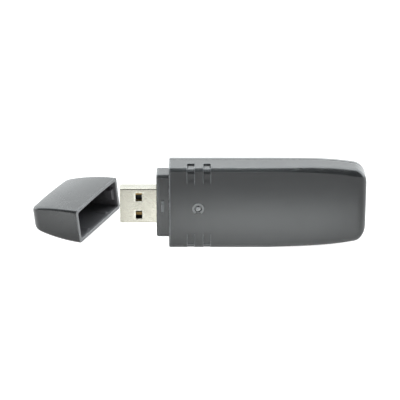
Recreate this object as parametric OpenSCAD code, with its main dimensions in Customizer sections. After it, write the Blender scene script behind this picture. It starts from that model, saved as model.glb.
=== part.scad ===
// USB wifi adapter: a two-shell stick with a stepped collar, a steel plug,
// its circuit board, and a push-on cap that lies beside the plug.
// Units are millimetres. X runs along the stick, away from the plug's tip.
// Y runs from the front face to the rear face. Z runs across the broad face.
// The origin is the plug's centre where it leaves the collar.

/* [Body] */
// Length of the body from the collar's step to the far end
body_len = 64.4; // [58:0.2:78]
// Width across the broad face
body_w = 27.9; // [26:0.2:34]
// Thickness from the front face to the rear face
body_t = 12; // [11.4:0.1:14]
// Thickness of the shells' walls
wall = 1.3; // [1:0.05:1.6]
// How far each long side closes in by the far end
side_fall = 2.1; // [0:0.1:3]
// How far the front face falls back by the far end
front_fall = 1.4; // [0:0.1:2]
// Corner radius of the far end, seen from the front
end_corner = 4.2; // [3.6:0.1:6.5]
// Rounding of the front face into the far end
front_round = 3.4; // [1.8:0.1:3.5]
// Rounding of the rear face into the far end
rear_round = 1.2; // [1:0.1:2]
// Rise of the front face's middle over its long edges
crown = 0.3; // [0.1:0.05:0.5]

/* [Collar] */
// Length of the stepped collar
collar_len = 4.1; // [3.4:0.1:5]
// Width of the collar
collar_w = 21.9; // [21:0.1:22.6]
// Thickness of the collar
collar_t = 7.7; // [7.6:0.1:8.2]
// Depth of the collar's part that belongs to the rear shell
collar_lip = 0.95; // [0.6:0.05:1.2]
// Height of the snap ridge on the collar's two broad faces
ridge_h = 0.3; // [0.15:0.05:0.35]

/* [Plug] */
// Width of the plug
plug_w = 12; // [11.9:0.05:12.1]
// Thickness of the plug
plug_t = 4.5; // [4.4:0.05:4.6]
// Length of the plug in front of the collar
plug_len = 11.9; // [11.6:0.1:13]
// Thickness of the plug's sheet steel
plug_sheet = 0.3; // [0.25:0.05:0.4]
// How far the plug sits in front of the body's middle
plug_forward = 1; // [0.6:0.1:1.2]
// Size of a latch window along the plug
window_len = 2.1; // [1.8:0.1:2.5]
// Size of a latch window across the plug
window_w = 2.7; // [2.3:0.1:3]
// Distance between the centres of the two windows
window_pitch = 6.15; // [5.6:0.05:6.5]

/* [Grip grooves] */
// Number of grooves on each long side
groove_count = 2; // [1:1:3]
// Width of a groove along the body
groove_w = 2.45; // [2:0.05:2.8]
// Distance from one groove to the next
groove_pitch = 5.25; // [4:0.05:6]
// Distance from the collar's step to the first groove
groove_start = 5.9; // [4:0.1:8]
// Depth of a groove
groove_depth = 0.45; // [0.2:0.05:0.6]
// Length of a groove on the front face
groove_on_front = 5.7; // [4:0.1:6]
// Length of a groove on the narrow side
groove_on_side = 4.9; // [4:0.1:6]

/* [Status light] */
// Distance of the light from the collar's step
light_x = 9.5; // [9:0.1:12]
// Radius of the light pipe
light_r = 0.8; // [0.6:0.05:0.9]
// Radius of the gap round the light pipe
light_gap_r = 1.2; // [1.1:0.05:1.3]
// Outer radius of the open ring moulded round the light
ring_r = 1.9; // [1.7:0.05:2.2]

/* [Cap] */
// Length of the cap
cap_len = 20.1; // [19:0.1:24]
// Wall of the cap
cap_wall = 1.45; // [1.2:0.05:1.6]
// How far each broad face closes in by the closed end
cap_fall_t = 2.3; // [1:0.1:2.4]
// How far each narrow side closes in by the closed end
cap_fall_w = 2.3; // [0:0.1:3]
// Sideways turn of the lying cap
cap_yaw = -26.4; // [-34:0.1:-20]
// Lift of the lying cap's mouth
cap_pitch = -3.7; // [-6:0.1:0]
// Roll of the lying cap about its own length
cap_roll = 5.2; // [0:0.1:6]

/* [Board] */
// Thickness of the circuit board
board_t = 1; // [0.8:0.1:1.2]
// Gap between the board and the shells' sides
board_gap = 0.6; // [0.4:0.1:1]
// Height of the shield over the radio
shield_h = 2.3; // [2:0.1:2.4]

/* [Hidden] */
$fn = 48;
eps = 0.01;

body_y = plug_forward;                      // middle of the body's thickness
body_front = body_y - body_t / 2;
body_rear = body_y + body_t / 2;
body_x = collar_len;
body_end = body_x + body_len;
parting_y = body_y + collar_t / 2 - collar_lip;
inner_front = body_front + wall;
taper_x = body_x + 0.5 * body_len;          // where the body starts to close in
side_curve = 3.6;
front_curve = 1.1;
front_edge_r = 1.1;
far_edge_growth = 1.2;
rear_edge_r = 1.5;
corner_steps = 4;

plug_hidden = 6.5;                          // length of the plug inside the collar
fit_gap = 0.05;                             // gap round parts that sit in a pocket
tongue_t = 1.85;
tongue_front = plug_t / 2 - plug_sheet - tongue_t;
contact_t = 0.2;
contact_w = 1;
contact_z = [-3.5, -1, 1, 3.5];

board_front = tongue_front;
board_rear = board_front + board_t;
board_x = plug_hidden + 0.5;
board_end = body_end - 6.5;
board_narrow_len = 12;                      // length over which the board narrows
board_w = body_w - 2 * wall - 2 * board_gap;
pin_r = 0.8;
pin_gap = 0.05;
post_r = 1.7;
post_x1 = body_x + 7.2;
post_x2 = board_end - 5;
post_z1 = board_w / 2 - 2.2;
posts = [[post_x1, post_z1], [post_x1, -post_z1], [post_x2, 0]];

shield_x = body_x + 18;
shield_len = 21;
shield_w = 17;
shield_sheet = 0.2;
lid_drop = 1.2;
lid_hole_pitch = 5.3;
lid_hole_r = 0.6;
led = [1.6, 0.7, 1];
label_t = 0.15;
label_size = [30, 17];
label_x = body_x + 0.45 * body_len;
cap_inner_w = body_w - 2 * cap_wall;

// Inset of a round corner of radius r at a distance d from the face
function round_in(d, r) = let (rest = r - max(0, min(d, r))) r - sqrt(r * r - rest * rest);
function arc(cy, cz, r, from) =
    [for (i = [0:corner_steps]) let (a = from + 90 * i / corner_steps) [cy + r * cos(a), cz + r * sin(a)]];

// One cross-section: front and rear faces at yf and yr, half width h, corner radii rf and rr
function ring(x, yf, yr, h, rf, rr, bulge) =
    let (
        flat = h - rf,
        outline = concat(
            arc(yf + rf, flat, rf, 90),
            [[yf, flat / 2], [yf, 0], [yf, -flat / 2]],
            arc(yf + rf, -flat, rf, 180),
            arc(yr - rr, rr - h, rr, 270),
            arc(yr - rr, h - rr, rr, 0)
        )
    )
    [for (p = outline) [x, p[0] + (p[0] < (yf + yr) / 2 ? bulge * pow(p[1] / h, 2) : 0), p[1]]];

function body_taper(x) = max(0, x - taper_x) / (body_end - taper_x);
function body_half(x, inset) =
    body_w / 2 - inset - side_fall * pow(body_taper(x), side_curve)
    - round_in(body_end - x - inset, end_corner - inset);
function body_front_at(x, inset) =
    body_front + inset + front_fall * pow(body_taper(x), front_curve)
    + round_in(body_end - x - inset, front_round - inset);
function body_rear_at(x, inset) = body_rear - inset - round_in(body_end - x - inset, rear_round);
function body_ring(x, inset) =
    let (soft = 0.4 + 0.6 * min(1, (body_end - x) / end_corner))
    ring(x, body_front_at(x, inset), body_rear_at(x, inset), body_half(x, inset),
        soft * max(0.6, front_edge_r + far_edge_growth * body_taper(x) - inset / 2),
        soft * max(0.6, rear_edge_r - inset), crown);

// Stations along the far end, closer together where it turns the corner
end_steps = [1, 0.8, 0.62, 0.46, 0.32, 0.2, 0.1, 0.03, 0];
function body_stations(inset) =
    concat(
        [for (i = [0:8]) taper_x + (body_end - inset - end_corner - taper_x) * i / 9],
        [for (s = end_steps) body_end - inset - s * end_corner]
    );

module loft(rings) {
    n = len(rings[0]);
    last = len(rings) - 1;
    sides = [for (k = [0:last - 1]) for (i = [0:n - 1])
        let (j = (i + 1) % n, a = k * n + i, b = k * n + j, c = b + n, d = a + n)
        each [[a, d, b], [b, d, c]]];
    polyhedron(
        points = [for (r = rings) each r],
        faces = concat([[for (i = [0:n - 1]) i]], sides, [[for (i = [n - 1:-1:0]) last * n + i]])
    );
}

module body_form() {
    edge = 0.3;
    loft(concat(
        [ring(body_x, body_front + edge, body_rear - edge, body_w / 2 - edge, front_edge_r - edge,
            rear_edge_r - edge, crown)],
        [body_ring(body_x + edge, 0)],
        [for (x = body_stations(0)) body_ring(x, 0)]
    ));
}

module body_hollow() {
    loft(concat([body_ring(body_x + wall, wall)], [for (x = body_stations(wall)) body_ring(x, wall)]));
}

collar_front = body_y - collar_t / 2;
collar_rear = body_y + collar_t / 2;
collar_edge_r = 1.2;
module collar_form() {
    edge = 0.4;
    half = collar_w / 2;
    loft([
        ring(0, collar_front + edge, collar_rear - edge, half - edge, collar_edge_r - edge,
            collar_edge_r - edge, 0),
        ring(edge, collar_front, collar_rear, half, collar_edge_r, collar_edge_r, 0),
        ring(body_x + wall, collar_front, collar_rear, half, collar_edge_r, collar_edge_r, 0)
    ]);
    for (side = [-1, 1])
        snap_ridge(side);
}

// A thin slice of a large disc stands out of the face as a lens-shaped ridge
ridge_disc_r = 8;
ridge_w = 1.1;
module snap_ridge(side) {
    reach = collar_t / 2 + ridge_h;
    ridge_x = (collar_len - ridge_w) / 2;
    intersection() {
        translate([ridge_x, body_y + side * (reach - ridge_disc_r), 0])
            rotate([0, 90, 0])
                cylinder(r = ridge_disc_r, h = ridge_w, $fn = 96);
        translate([ridge_x, body_y + side * (reach - 1) - 1, -ridge_disc_r])
            cube([ridge_w, 2, 2 * ridge_disc_r]);
    }
}

module collar_hollow() {
    pocket_w = collar_w - 2 * wall;
    pocket_front = -plug_t / 2 - fit_gap;
    translate([wall, pocket_front, -pocket_w / 2])
        cube([body_x + eps, collar_rear - wall - pocket_front, pocket_w]);
    plug_hole();
}

module plug_hole() {
    translate([-1, -plug_t / 2 - fit_gap, -plug_w / 2 - fit_gap])
        cube([body_x + wall + 1, plug_t + 2 * fit_gap, plug_w + 2 * fit_gap]);
}

module grip_grooves() {
    for (i = [0:groove_count - 1], side = [-1, 1]) {
        x = body_x + groove_start + i * groove_pitch;
        translate([x, body_front - 1, side > 0 ? body_w / 2 - groove_on_front : -body_w / 2 - 1])
            cube([groove_w, 1 + crown + groove_depth, groove_on_front + 1]);
        translate([x, body_front - 1, side > 0 ? body_w / 2 - groove_depth : -body_w / 2 - 1])
            cube([groove_w, 1 + groove_on_side, groove_depth + 1]);
    }
}

light_at = body_x + light_x;
ring_rise = 0.12;
module light_ring() {
    gap = 1.7;
    translate([light_at, body_front + 0.5, 0])
        rotate([90, 0, 0])
            difference() {
                cylinder(r = ring_r, h = 0.5 + ring_rise);
                translate([0, 0, -1])
                    cylinder(r = light_gap_r, h = 3);
                translate([-gap / 2, -ring_r - 1, -1])
                    cube([gap, ring_r + 1 - light_gap_r / 2, 3]);
            }
}

// Two-step hole: a gap round the lens outside, a close bore behind it
lens_gap_depth = 0.6;
module light_hole() {
    translate([light_at, body_front + wall + 1, 0])
        rotate([90, 0, 0]) {
            cylinder(r = light_r + fit_gap, h = wall + 2);
            translate([0, 0, wall + 1 - lens_gap_depth])
                cylinder(r = light_gap_r, h = 2);
        }
}

big = 200;
module front_half() {
    translate([-big / 2, parting_y - big, -big / 2])
        cube([big, big, big]);
}

module rear_half() {
    translate([-big / 2, parting_y, -big / 2])
        cube([big, big, big]);
}

module front_shell() {
    color([0.33, 0.34, 0.35])
        difference() {
            union() {
                difference() {
                    intersection() {
                        union() {
                            body_form();
                            collar_form();
                        }
                        front_half();
                    }
                    body_hollow();
                    collar_hollow();
                    grip_grooves();
                }
                light_ring();
                for (p = posts)
                    board_boss(p);
            }
            light_hole();
            for (p = posts)
                boss_bore(p);
        }
}

// Bosses of the front shell take the rear shell's pins and press on the board
boss_root = body_front + wall / 2;
module board_boss(p) {
    root = max(boss_root, body_front_at(p[0], wall / 2));
    translate([p[0], board_front, p[1]])
        rotate([90, 0, 0])
            cylinder(r = post_r, h = board_front - root);
}

boss_bore_depth = 2;
module boss_bore(p) {
    translate([p[0], board_front + eps, p[1]])
        rotate([90, 0, 0])
            cylinder(r = pin_r + pin_gap, h = boss_bore_depth);
}

module rear_shell() {
    color([0.4, 0.41, 0.42])
        difference() {
            union() {
                difference() {
                    intersection() {
                        union() {
                            body_form();
                            collar_form();
                        }
                        rear_half();
                    }
                    body_hollow();
                    collar_hollow();
                }
                for (p = posts)
                    board_post(p);
            }
            translate([label_x - label_size[0] / 2, body_rear - label_t, -label_size[1] / 2])
                cube([label_size[0], 1, label_size[1]]);
        }
}

module board_post(p) {
    translate([p[0], body_rear - wall / 2, p[1]])
        rotate([90, 0, 0]) {
            cylinder(r = post_r, h = body_rear - wall / 2 - board_rear);
            cylinder(r = pin_r, h = body_rear - wall / 2 - board_front + boss_bore_depth - 0.2);
        }
}

// The cap's sections run from its closed end to its mouth, as it sits on the body
cap_end_corner = 4.1;
cap_end_round = 2.5;
cap_curve_w = 1.5;
cap_curve_t = 2.3;
cap_edge_r = 1;
function cap_half(x, inset) =
    body_w / 2 - inset - cap_fall_w * pow(-x / cap_len, cap_curve_w)
    - round_in(cap_len - inset + x, cap_end_corner - inset);
function cap_thick(x, inset) =
    body_t / 2 - inset - cap_fall_t * pow(-x / cap_len, cap_curve_t)
    - round_in(cap_len - inset + x, cap_end_round);
function cap_ring(x, inset) =
    let (edge = max(0.4, cap_edge_r - inset / 3))
    ring(x, -cap_thick(x, inset), cap_thick(x, inset), cap_half(x, inset), edge, edge, crown);
cap_steps = [1, 0.72, 0.46, 0.24, 0.09, 0];
function cap_rings(inset, mouth) = concat(
    [for (i = [len(cap_steps) - 1:-1:0]) cap_ring(inset + cap_steps[i] * cap_end_corner - cap_len, inset)],
    [for (i = [1:4]) cap_ring((cap_end_corner + inset - cap_len) * (1 - i / 4), inset)],
    mouth
);

function turn_x(v, a) = [v[0], v[1] * cos(a) - v[2] * sin(a), v[1] * sin(a) + v[2] * cos(a)];
function turn_y(v, a) = [v[0] * cos(a) + v[2] * sin(a), v[1], v[2] * cos(a) - v[0] * sin(a)];
// Height of each point of the lying cap over its mouth's centre
cap_heights = [for (r = cap_rings(0, []), p = r) turn_y(turn_x(turn_x(p, -90), cap_roll), cap_pitch)[2]];
cap_at = [-plug_len - 7.7, body_y + 10, -body_w / 2 - min(cap_heights)];

module lay_cap() {
    translate(cap_at)
        rotate([cap_roll, cap_pitch, cap_yaw])
            rotate([-90, 0, 0])
                children();
}

cap_rib_len = 3;
cap_rib_w = 3.6;
cap_rib_clear = 0.1;
cap_guide_w = 0.8;
module cap() {
    color([0.45, 0.46, 0.47])
        lay_cap() {
            difference() {
                loft(cap_rings(0, []));
                loft(cap_rings(cap_wall, [cap_ring(0, cap_wall - 0.2)]));
                translate([-eps, -body_t, -body_w])
                    cube([1, 2 * body_t, 2 * body_w]);
            }
            for (side = [-1, 1])
                cap_snap_rib(side);
            for (side = [-1, 1], z = [-1, 1])
                cap_guide(side, z * cap_inner_w / 4);
        }
}

// Ribs on the narrow walls close the space down to the collar's width
module cap_snap_rib(side) {
    near = collar_w / 2 + cap_rib_clear;
    far = cap_half(-1, cap_wall / 2);
    translate([-1 - cap_rib_len, -cap_rib_w / 2, side > 0 ? near : -far])
        cube([cap_rib_len, cap_rib_w, far - near]);
}

// Guides on the broad walls keep the collar in the middle
module cap_guide(side, z) {
    near = collar_t / 2 + ridge_h + cap_rib_clear;
    guide_len = cap_len * 0.6;
    far = cap_thick(-guide_len - 1, cap_wall / 2);
    translate([-1 - guide_len, side > 0 ? near : -far, z - cap_guide_w / 2])
        cube([guide_len, far - near, cap_guide_w]);
}

module usb_shell() {
    full = plug_len + plug_hidden;
    color([0.8, 0.8, 0.77])
        difference() {
            union() {
                translate([-plug_len, -plug_t / 2, -plug_w / 2])
                    cube([full, plug_t, plug_w]);
                for (side = [-1, 1])
                    usb_leg(side);
            }
            translate([-plug_len - 1, plug_sheet - plug_t / 2, plug_sheet - plug_w / 2])
                cube([full + 2, plug_t - 2 * plug_sheet, plug_w - 2 * plug_sheet]);
            latch_windows();
        }
}

window_x = 6.2 - plug_len;
module latch_windows() {
    for (side = [-1, 1])
        translate([window_x - window_len / 2, -plug_t, (side * window_pitch - window_w) / 2])
            cube([window_len, 2 * plug_t, window_w]);
}

leg_len = 2;
leg_w = 0.9;
module usb_leg(side) {
    translate([plug_hidden - eps, board_front - leg_w, side > 0 ? plug_w / 2 - plug_sheet : -plug_w / 2])
        cube([leg_len, leg_w, plug_sheet]);
}

tongue_recess = 0.6;
module usb_insulator() {
    inner_w = plug_w - 2 * plug_sheet - 2 * fit_gap;
    color([0.12, 0.12, 0.12])
        difference() {
            union() {
                translate([tongue_recess - plug_len, tongue_front, -inner_w / 2])
                    cube([plug_len + plug_hidden - tongue_recess, tongue_t - fit_gap, inner_w]);
                translate([0, plug_sheet + fit_gap - plug_t / 2, -inner_w / 2])
                    cube([plug_hidden, plug_t - 2 * plug_sheet - 2 * fit_gap, inner_w]);
            }
            for (z = contact_z)
                translate([-1, tongue_front - contact_t - fit_gap, z - contact_w / 2 - fit_gap])
                    cube([plug_hidden + 2, contact_t + fit_gap, contact_w + 2 * fit_gap]);
        }
}

// The outer two contacts reach further forward, so power joins first
module usb_contacts() {
    color([0.85, 0.7, 0.35])
        for (z = contact_z) {
            front = abs(z) > 2 ? 1.8 : 2.8;
            on_pads = 1.5;
            translate([front - plug_len, tongue_front - contact_t, z - contact_w / 2])
                cube([plug_len - front + board_x + on_pads, contact_t, contact_w]);
        }
}

module circuit_board() {
    half = board_w / 2;
    shoulder = board_end - board_narrow_len;
    tail_half = body_half(board_end, wall) - board_gap;
    color([0.1, 0.35, 0.2])
        difference() {
            translate([0, board_rear, 0])
                rotate([90, 0, 0])
                    linear_extrude(height = board_t)
                        polygon([
                            [board_x, -half], [shoulder, -half], [board_end, -tail_half],
                            [board_end, tail_half], [shoulder, half], [board_x, half]
                        ]);
            for (p = posts)
                translate([p[0], board_rear + 1, p[1]])
                    rotate([90, 0, 0])
                        cylinder(r = pin_r + 0.15, h = board_t + 2);
        }
}

// A block standing on the board's front side, centred on x and z
module on_board(x, z, size) {
    translate([x - size[0] / 2, board_front - size[1], z - size[2] / 2])
        cube(size);
}

module shield_frame() {
    inner_len = shield_len - 2 * shield_sheet;
    inner_w = shield_w - 2 * shield_sheet;
    middle = shield_x + shield_len / 2;
    color([0.75, 0.75, 0.72])
        difference() {
            on_board(middle, 0, [shield_len, shield_h, shield_w]);
            translate([middle - inner_len / 2, board_front - shield_h - 1, -inner_w / 2])
                cube([inner_len, shield_h + 2, inner_w]);
        }
}

module shield_lid() {
    over = shield_sheet + fit_gap;
    middle = shield_x + shield_len / 2;
    size = [shield_len + 2 * over, shield_sheet + lid_drop, shield_w + 2 * over];
    top = board_front - shield_h - shield_sheet;
    color([0.82, 0.82, 0.8])
        difference() {
            translate([middle - size[0] / 2, top, -size[2] / 2])
                cube(size);
            translate([middle - size[0] / 2 + shield_sheet, top + shield_sheet, shield_sheet - size[2] / 2])
                cube([size[0] - 2 * shield_sheet, size[1], size[2] - 2 * shield_sheet]);
            for (dx = [-1:1], dz = [-1:1])
                translate([middle + dx * lid_hole_pitch, top + 1, dz * lid_hole_pitch])
                    rotate([90, 0, 0])
                        cylinder(r = lid_hole_r, h = 2);
        }
}

module thermal_pad() {
    pad = [12, board_front - shield_h - shield_sheet - inner_front - crown, 6];
    color([0.6, 0.62, 0.7])
        translate([shield_x + shield_len / 2 - pad[0] / 2, inner_front + crown, -pad[2] / 2])
            cube(pad);
}

radio_x = shield_x + 7;
module wifi_chip() {
    color([0.13, 0.13, 0.14])
        on_board(radio_x, 1.5, [8, 0.9, 8]);
}

module radio_amplifiers() {
    color([0.16, 0.16, 0.17])
        for (z = [-4.5, 4.5])
            on_board(radio_x + 9.5, z, [3, 0.8, 3]);
}

module crystal() {
    color([0.78, 0.78, 0.76])
        on_board(radio_x - 1, -5.6, [3.2, 0.8, 2.5]);
}

module memory_chip() {
    x = shield_x - 4.6;
    z = -6;
    body = [3.9, 1.5, 4.9];
    lead = [1.1, 0.3, 0.4];
    lead_pitch = 1.27;
    color([0.12, 0.12, 0.13]) {
        on_board(x, z, body);
        for (side = [-1, 1], i = [-1.5:1.5])
            on_board(x + side * (body[0] + lead[0] - 0.1) / 2, z + i * lead_pitch, lead);
    }
}

module voltage_regulator() {
    x = shield_x - 3.6;
    z = 3.4;
    body = [1.6, 1.1, 2.9];
    lead = [0.6, 0.2, 0.4];
    lead_pitch = 0.95;
    lead_x = (body[0] + lead[0] - 0.1) / 2;
    color([0.14, 0.14, 0.15]) {
        on_board(x, z, body);
        for (i = [-1:1])
            on_board(x - lead_x, z + i * lead_pitch, lead);
        for (i = [-1, 1])
            on_board(x + lead_x, z + i * lead_pitch, lead);
    }
}

module power_inductor() {
    coil_r = 1.5;
    coil_h = 1.4;
    flange_r = 2;
    color([0.3, 0.3, 0.32])
        translate([shield_x - 3.6, board_front, 7.6])
            rotate([90, 0, 0]) {
                translate([-flange_r, -flange_r, 0])
                    cube([2 * flange_r, 2 * flange_r, 0.5]);
                cylinder(r = coil_r, h = coil_h);
                translate([0, 0, coil_h])
                    cylinder(r = flange_r, h = 0.4);
            }
}

cap_size = [1.6, 0.8, 0.8];
resistor_size = [1, 0.35, 0.5];
// The same piece turned a quarter on the board
function turned(size) = [size[2], size[1], size[0]];

module capacitors() {
    color([0.6, 0.5, 0.38]) {
        for (i = [0:3])
            on_board(board_x + 3.4, 2.2 * (i - 1.5), turned(cap_size));
        for (i = [0:3])
            on_board(radio_x + 6, 3 * (i - 1.5), cap_size);
        for (i = [0:2])
            on_board(shield_x + shield_len + 3, 3.4 * (i - 1), cap_size);
    }
}

module resistors() {
    color([0.1, 0.1, 0.1]) {
        for (i = [0:2])
            on_board(light_at + 3 + 1.5 * i, -1.4, turned(resistor_size));
        for (i = [0:3])
            on_board(radio_x + 2.6 + 1.3 * i, -6.8, turned(resistor_size));
        for (i = [0:1])
            on_board(light_at + 0.2, 2.4 + 1.4 * i, resistor_size);
    }
}

module status_led() {
    color([0.95, 0.93, 0.8])
        on_board(light_at, 0, led);
}

module light_pipe() {
    foot_r = 1.5;
    foot_t = 0.7;
    lens_rise = 0.05;
    root = board_front - led[1] - 0.2;
    color([0.85, 0.88, 0.9])
        translate([light_at, root, 0])
            rotate([90, 0, 0]) {
                cylinder(r = light_r, h = root - body_front + lens_rise);
                translate([0, 0, root - inner_front - crown - foot_t])
                    cylinder(r = foot_r, h = foot_t);
            }
}

// Folded copper tracks on the board's front, one for each radio chain
track_t = 0.1;
track_w = 0.9;
module antenna(side) {
    start = shield_x + shield_len + 5;
    step = 2.2;
    reach = 3.4;
    base = 4.4;
    folds = 4;
    feed_len = 3;
    turns = [base + track_w / 2, base + reach - track_w / 2];
    color([0.82, 0.55, 0.3]) {
        for (i = [0:folds - 1])
            on_board(start + i * step, side * (base + reach / 2), [track_w, track_t, reach]);
        for (i = [0:folds - 2])
            on_board(start + (i + 0.5) * step, side * turns[(i + 1) % 2], [step, track_t, track_w]);
        on_board(start - feed_len / 2, side * turns[0], [feed_len, track_t, track_w]);
    }
}

module upper_antenna() {
    antenna(1);
}

module lower_antenna() {
    antenna(-1);
}

socket_w = 2;
module test_sockets() {
    x = shield_x + shield_len + 3;
    z = 8.2;
    floor_t = 0.4;
    bore_r = 0.6;
    color([0.8, 0.7, 0.45])
        for (side = [-1, 1])
            difference() {
                on_board(x, side * z, [socket_w, 1, socket_w]);
                translate([x, board_front - floor_t, side * z])
                    rotate([90, 0, 0])
                        cylinder(r = bore_r, h = 2);
            }
}

module rating_label() {
    color([0.86, 0.86, 0.84])
        translate([label_x - label_size[0] / 2 + fit_gap, body_rear - label_t, fit_gap - label_size[1] / 2])
            cube([label_size[0] - 2 * fit_gap, label_t, label_size[1] - 2 * fit_gap]);
}

front_shell();
rear_shell();
cap();
usb_shell();
usb_insulator();
usb_contacts();
circuit_board();
shield_frame();
shield_lid();
thermal_pad();
wifi_chip();
radio_amplifiers();
crystal();
memory_chip();
voltage_regulator();
power_inductor();
capacitors();
resistors();
status_led();
light_pipe();
upper_antenna();
lower_antenna();
test_sockets();
rating_label();
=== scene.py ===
import math
import bpy
import bmesh
import numpy as np
from mathutils import Euler, Matrix, Vector


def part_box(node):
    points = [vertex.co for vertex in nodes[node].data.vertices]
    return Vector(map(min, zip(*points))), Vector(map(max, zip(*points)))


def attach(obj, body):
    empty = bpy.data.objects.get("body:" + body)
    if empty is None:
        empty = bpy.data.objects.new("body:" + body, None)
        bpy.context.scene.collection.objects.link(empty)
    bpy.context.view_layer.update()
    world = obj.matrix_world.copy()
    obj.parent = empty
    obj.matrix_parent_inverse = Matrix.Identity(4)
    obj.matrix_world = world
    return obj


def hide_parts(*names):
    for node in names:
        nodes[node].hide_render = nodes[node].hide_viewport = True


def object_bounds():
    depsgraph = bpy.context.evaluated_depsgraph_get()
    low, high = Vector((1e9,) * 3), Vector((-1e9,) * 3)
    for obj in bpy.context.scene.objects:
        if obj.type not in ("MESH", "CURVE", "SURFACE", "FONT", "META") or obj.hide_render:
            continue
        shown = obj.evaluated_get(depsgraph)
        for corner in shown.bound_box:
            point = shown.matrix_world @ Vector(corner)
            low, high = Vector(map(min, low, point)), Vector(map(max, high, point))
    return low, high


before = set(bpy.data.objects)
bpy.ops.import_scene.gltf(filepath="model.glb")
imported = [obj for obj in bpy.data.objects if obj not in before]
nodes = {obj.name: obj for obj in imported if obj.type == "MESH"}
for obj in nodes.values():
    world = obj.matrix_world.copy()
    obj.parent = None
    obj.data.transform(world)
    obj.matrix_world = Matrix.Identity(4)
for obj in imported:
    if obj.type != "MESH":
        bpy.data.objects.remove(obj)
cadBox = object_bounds()
scene = bpy.context.scene
mm = 0.001  # pieces are worked out in millimetres and written in metres


def boxMm(node):
    low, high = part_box(node)
    return np.array(low) / mm, np.array(high) / mm


# small sums that several pieces share
def ease(t):
    t = np.clip(t, 0.0, 1.0)
    return t * t * (3 - 2 * t)


def roundIn(d, r):
    # how far a round corner of radius r has drawn in at a distance d from the face
    rest = r - np.clip(d, 0, r)
    return r - np.sqrt(np.maximum(r * r - rest * rest, 0))


def spread(a, b, count):
    return list(np.linspace(a, b, count))


def around(place, soft):
    return [place + soft * k / 2 for k in range(-2, 3)]


def stepIn(inside, soft):
    # 0 outside an outline, 1 inside it, with a soft step
    return ease((inside / soft + 1) / 2)


def tidyLines(lines, gap=0.035):
    # sorted, without those that lie closer than the gap to the one before
    kept = []
    for v in sorted(lines):
        if not kept or v - kept[-1] > gap:
            kept.append(float(v))
    return np.array(kept)


# mesh work
def meshObject(name, verts, faces, smoothAngle=35, second=()):
    # second holds the indices of the faces that take the piece's second material
    mesh = bpy.data.meshes.new(name)
    mesh.from_pydata([tuple(v) for v in np.asarray(verts) * mm], [], faces)
    for i in second:
        mesh.polygons[i].material_index = 1
    obj = bpy.data.objects.new(name, mesh)
    scene.collection.objects.link(obj)
    tidyMesh(obj, smoothAngle)
    return obj


def tidyMesh(obj, smoothAngle=35):
    bm = bmesh.new()
    bm.from_mesh(obj.data)
    bmesh.ops.remove_doubles(bm, verts=bm.verts, dist=3e-6)
    bmesh.ops.dissolve_degenerate(bm, edges=bm.edges, dist=1e-7)
    bmesh.ops.recalc_face_normals(bm, faces=bm.faces)
    bm.to_mesh(obj.data)
    bm.free()
    shadeByAngle(obj, smoothAngle)


def shadeByAngle(obj, smoothAngle=35):
    for p in obj.data.polygons:
        p.use_smooth = True
    obj.data.set_sharp_from_angle(angle=math.radians(smoothAngle))
    obj.data.update()


def sheetFaces(rows, cols, shift=0, flip=False, hole=None):
    faces = []
    for k in range(rows - 1):
        for j in range(cols - 1):
            if hole and hole[0] <= k < hole[1] and hole[2] <= j < hole[3]:
                continue
            a = shift + k * cols + j
            quad = (a, a + 1, a + cols + 1, a + cols)
            faces.append(quad[::-1] if flip else quad)
    return faces


def borderLoop(rowLow, rowHigh, colLow, colHigh, cols):
    loop = [k * cols + colLow for k in range(rowLow, rowHigh)]
    loop += [rowHigh * cols + j for j in range(colLow, colHigh)]
    loop += [k * cols + colHigh for k in range(rowHigh, rowLow, -1)]
    loop += [rowLow * cols + j for j in range(colHigh, colLow, -1)]
    return loop


def loopFaces(first, second):
    count = len(first)
    return [(first[i], first[(i + 1) % count], second[(i + 1) % count], second[i]) for i in range(count)]


def baked(obj):
    # turns the modifiers' result into a plain mesh
    deps = bpy.context.evaluated_depsgraph_get()
    mesh = bpy.data.meshes.new_from_object(obj.evaluated_get(deps))
    obj.modifiers.clear()
    old = obj.data
    obj.data = mesh
    bpy.data.meshes.remove(old)
    mesh.name = obj.name
    return obj


def cutBlock(obj, low, high):
    # takes a block out of a piece
    bm = bmesh.new()
    roundedBlock(bm, low, high, 0)
    tool = bpy.data.objects.new("tool", bpy.data.meshes.new("tool"))
    bm.to_mesh(tool.data)
    bm.free()
    scene.collection.objects.link(tool)
    cut = obj.modifiers.new("cut", "BOOLEAN")
    cut.operation = "DIFFERENCE"
    cut.solver = "EXACT"
    cut.object = tool
    baked(obj)
    bpy.data.objects.remove(tool)


def roundedBlock(bm, low, high, bevel, segments=2):
    made = bmesh.ops.create_cube(bm, size=1.0)["verts"]
    for v in made:
        for i in range(3):
            v.co[i] = (high[i] if v.co[i] > 0 else low[i]) * mm
    if bevel > 0:
        edges = list({e for v in made for e in v.link_edges})
        bmesh.ops.bevel(bm, geom=edges, offset=bevel * mm, segments=segments, profile=0.5, affect="EDGES")


def markEdgeWearAndSheen(obj, radius=0.6):
    # a point attribute that is high on tight outward edges, for worn and dusty edges, and for the painted
    # highlight on the edges of the front shell and the cap's rim
    mesh = obj.data
    count = len(mesh.vertices)
    place = np.empty(count * 3)
    normal = np.empty(count * 3)
    mesh.vertices.foreach_get("co", place)
    mesh.vertex_normals.foreach_get("vector", normal)
    place = place.reshape(-1, 3)
    normal = normal.reshape(-1, 3)
    ends = np.empty(len(mesh.edges) * 2, dtype=np.int32)
    mesh.edges.foreach_get("vertices", ends)
    a, b = ends.reshape(-1, 2).T
    along = place[b] - place[a]
    bend = ((normal[b] - normal[a]) * along).sum(1) / np.maximum((along * along).sum(1), 1e-12)
    wear = np.zeros(count)
    np.maximum.at(wear, a, bend)
    np.maximum.at(wear, b, bend)
    wear = np.clip(wear * radius * mm - 0.3, 0, 1)
    attribute = mesh.attributes.new("wear", "FLOAT", "POINT")
    attribute.data.foreach_set("value", wear.astype(np.float32))


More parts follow.
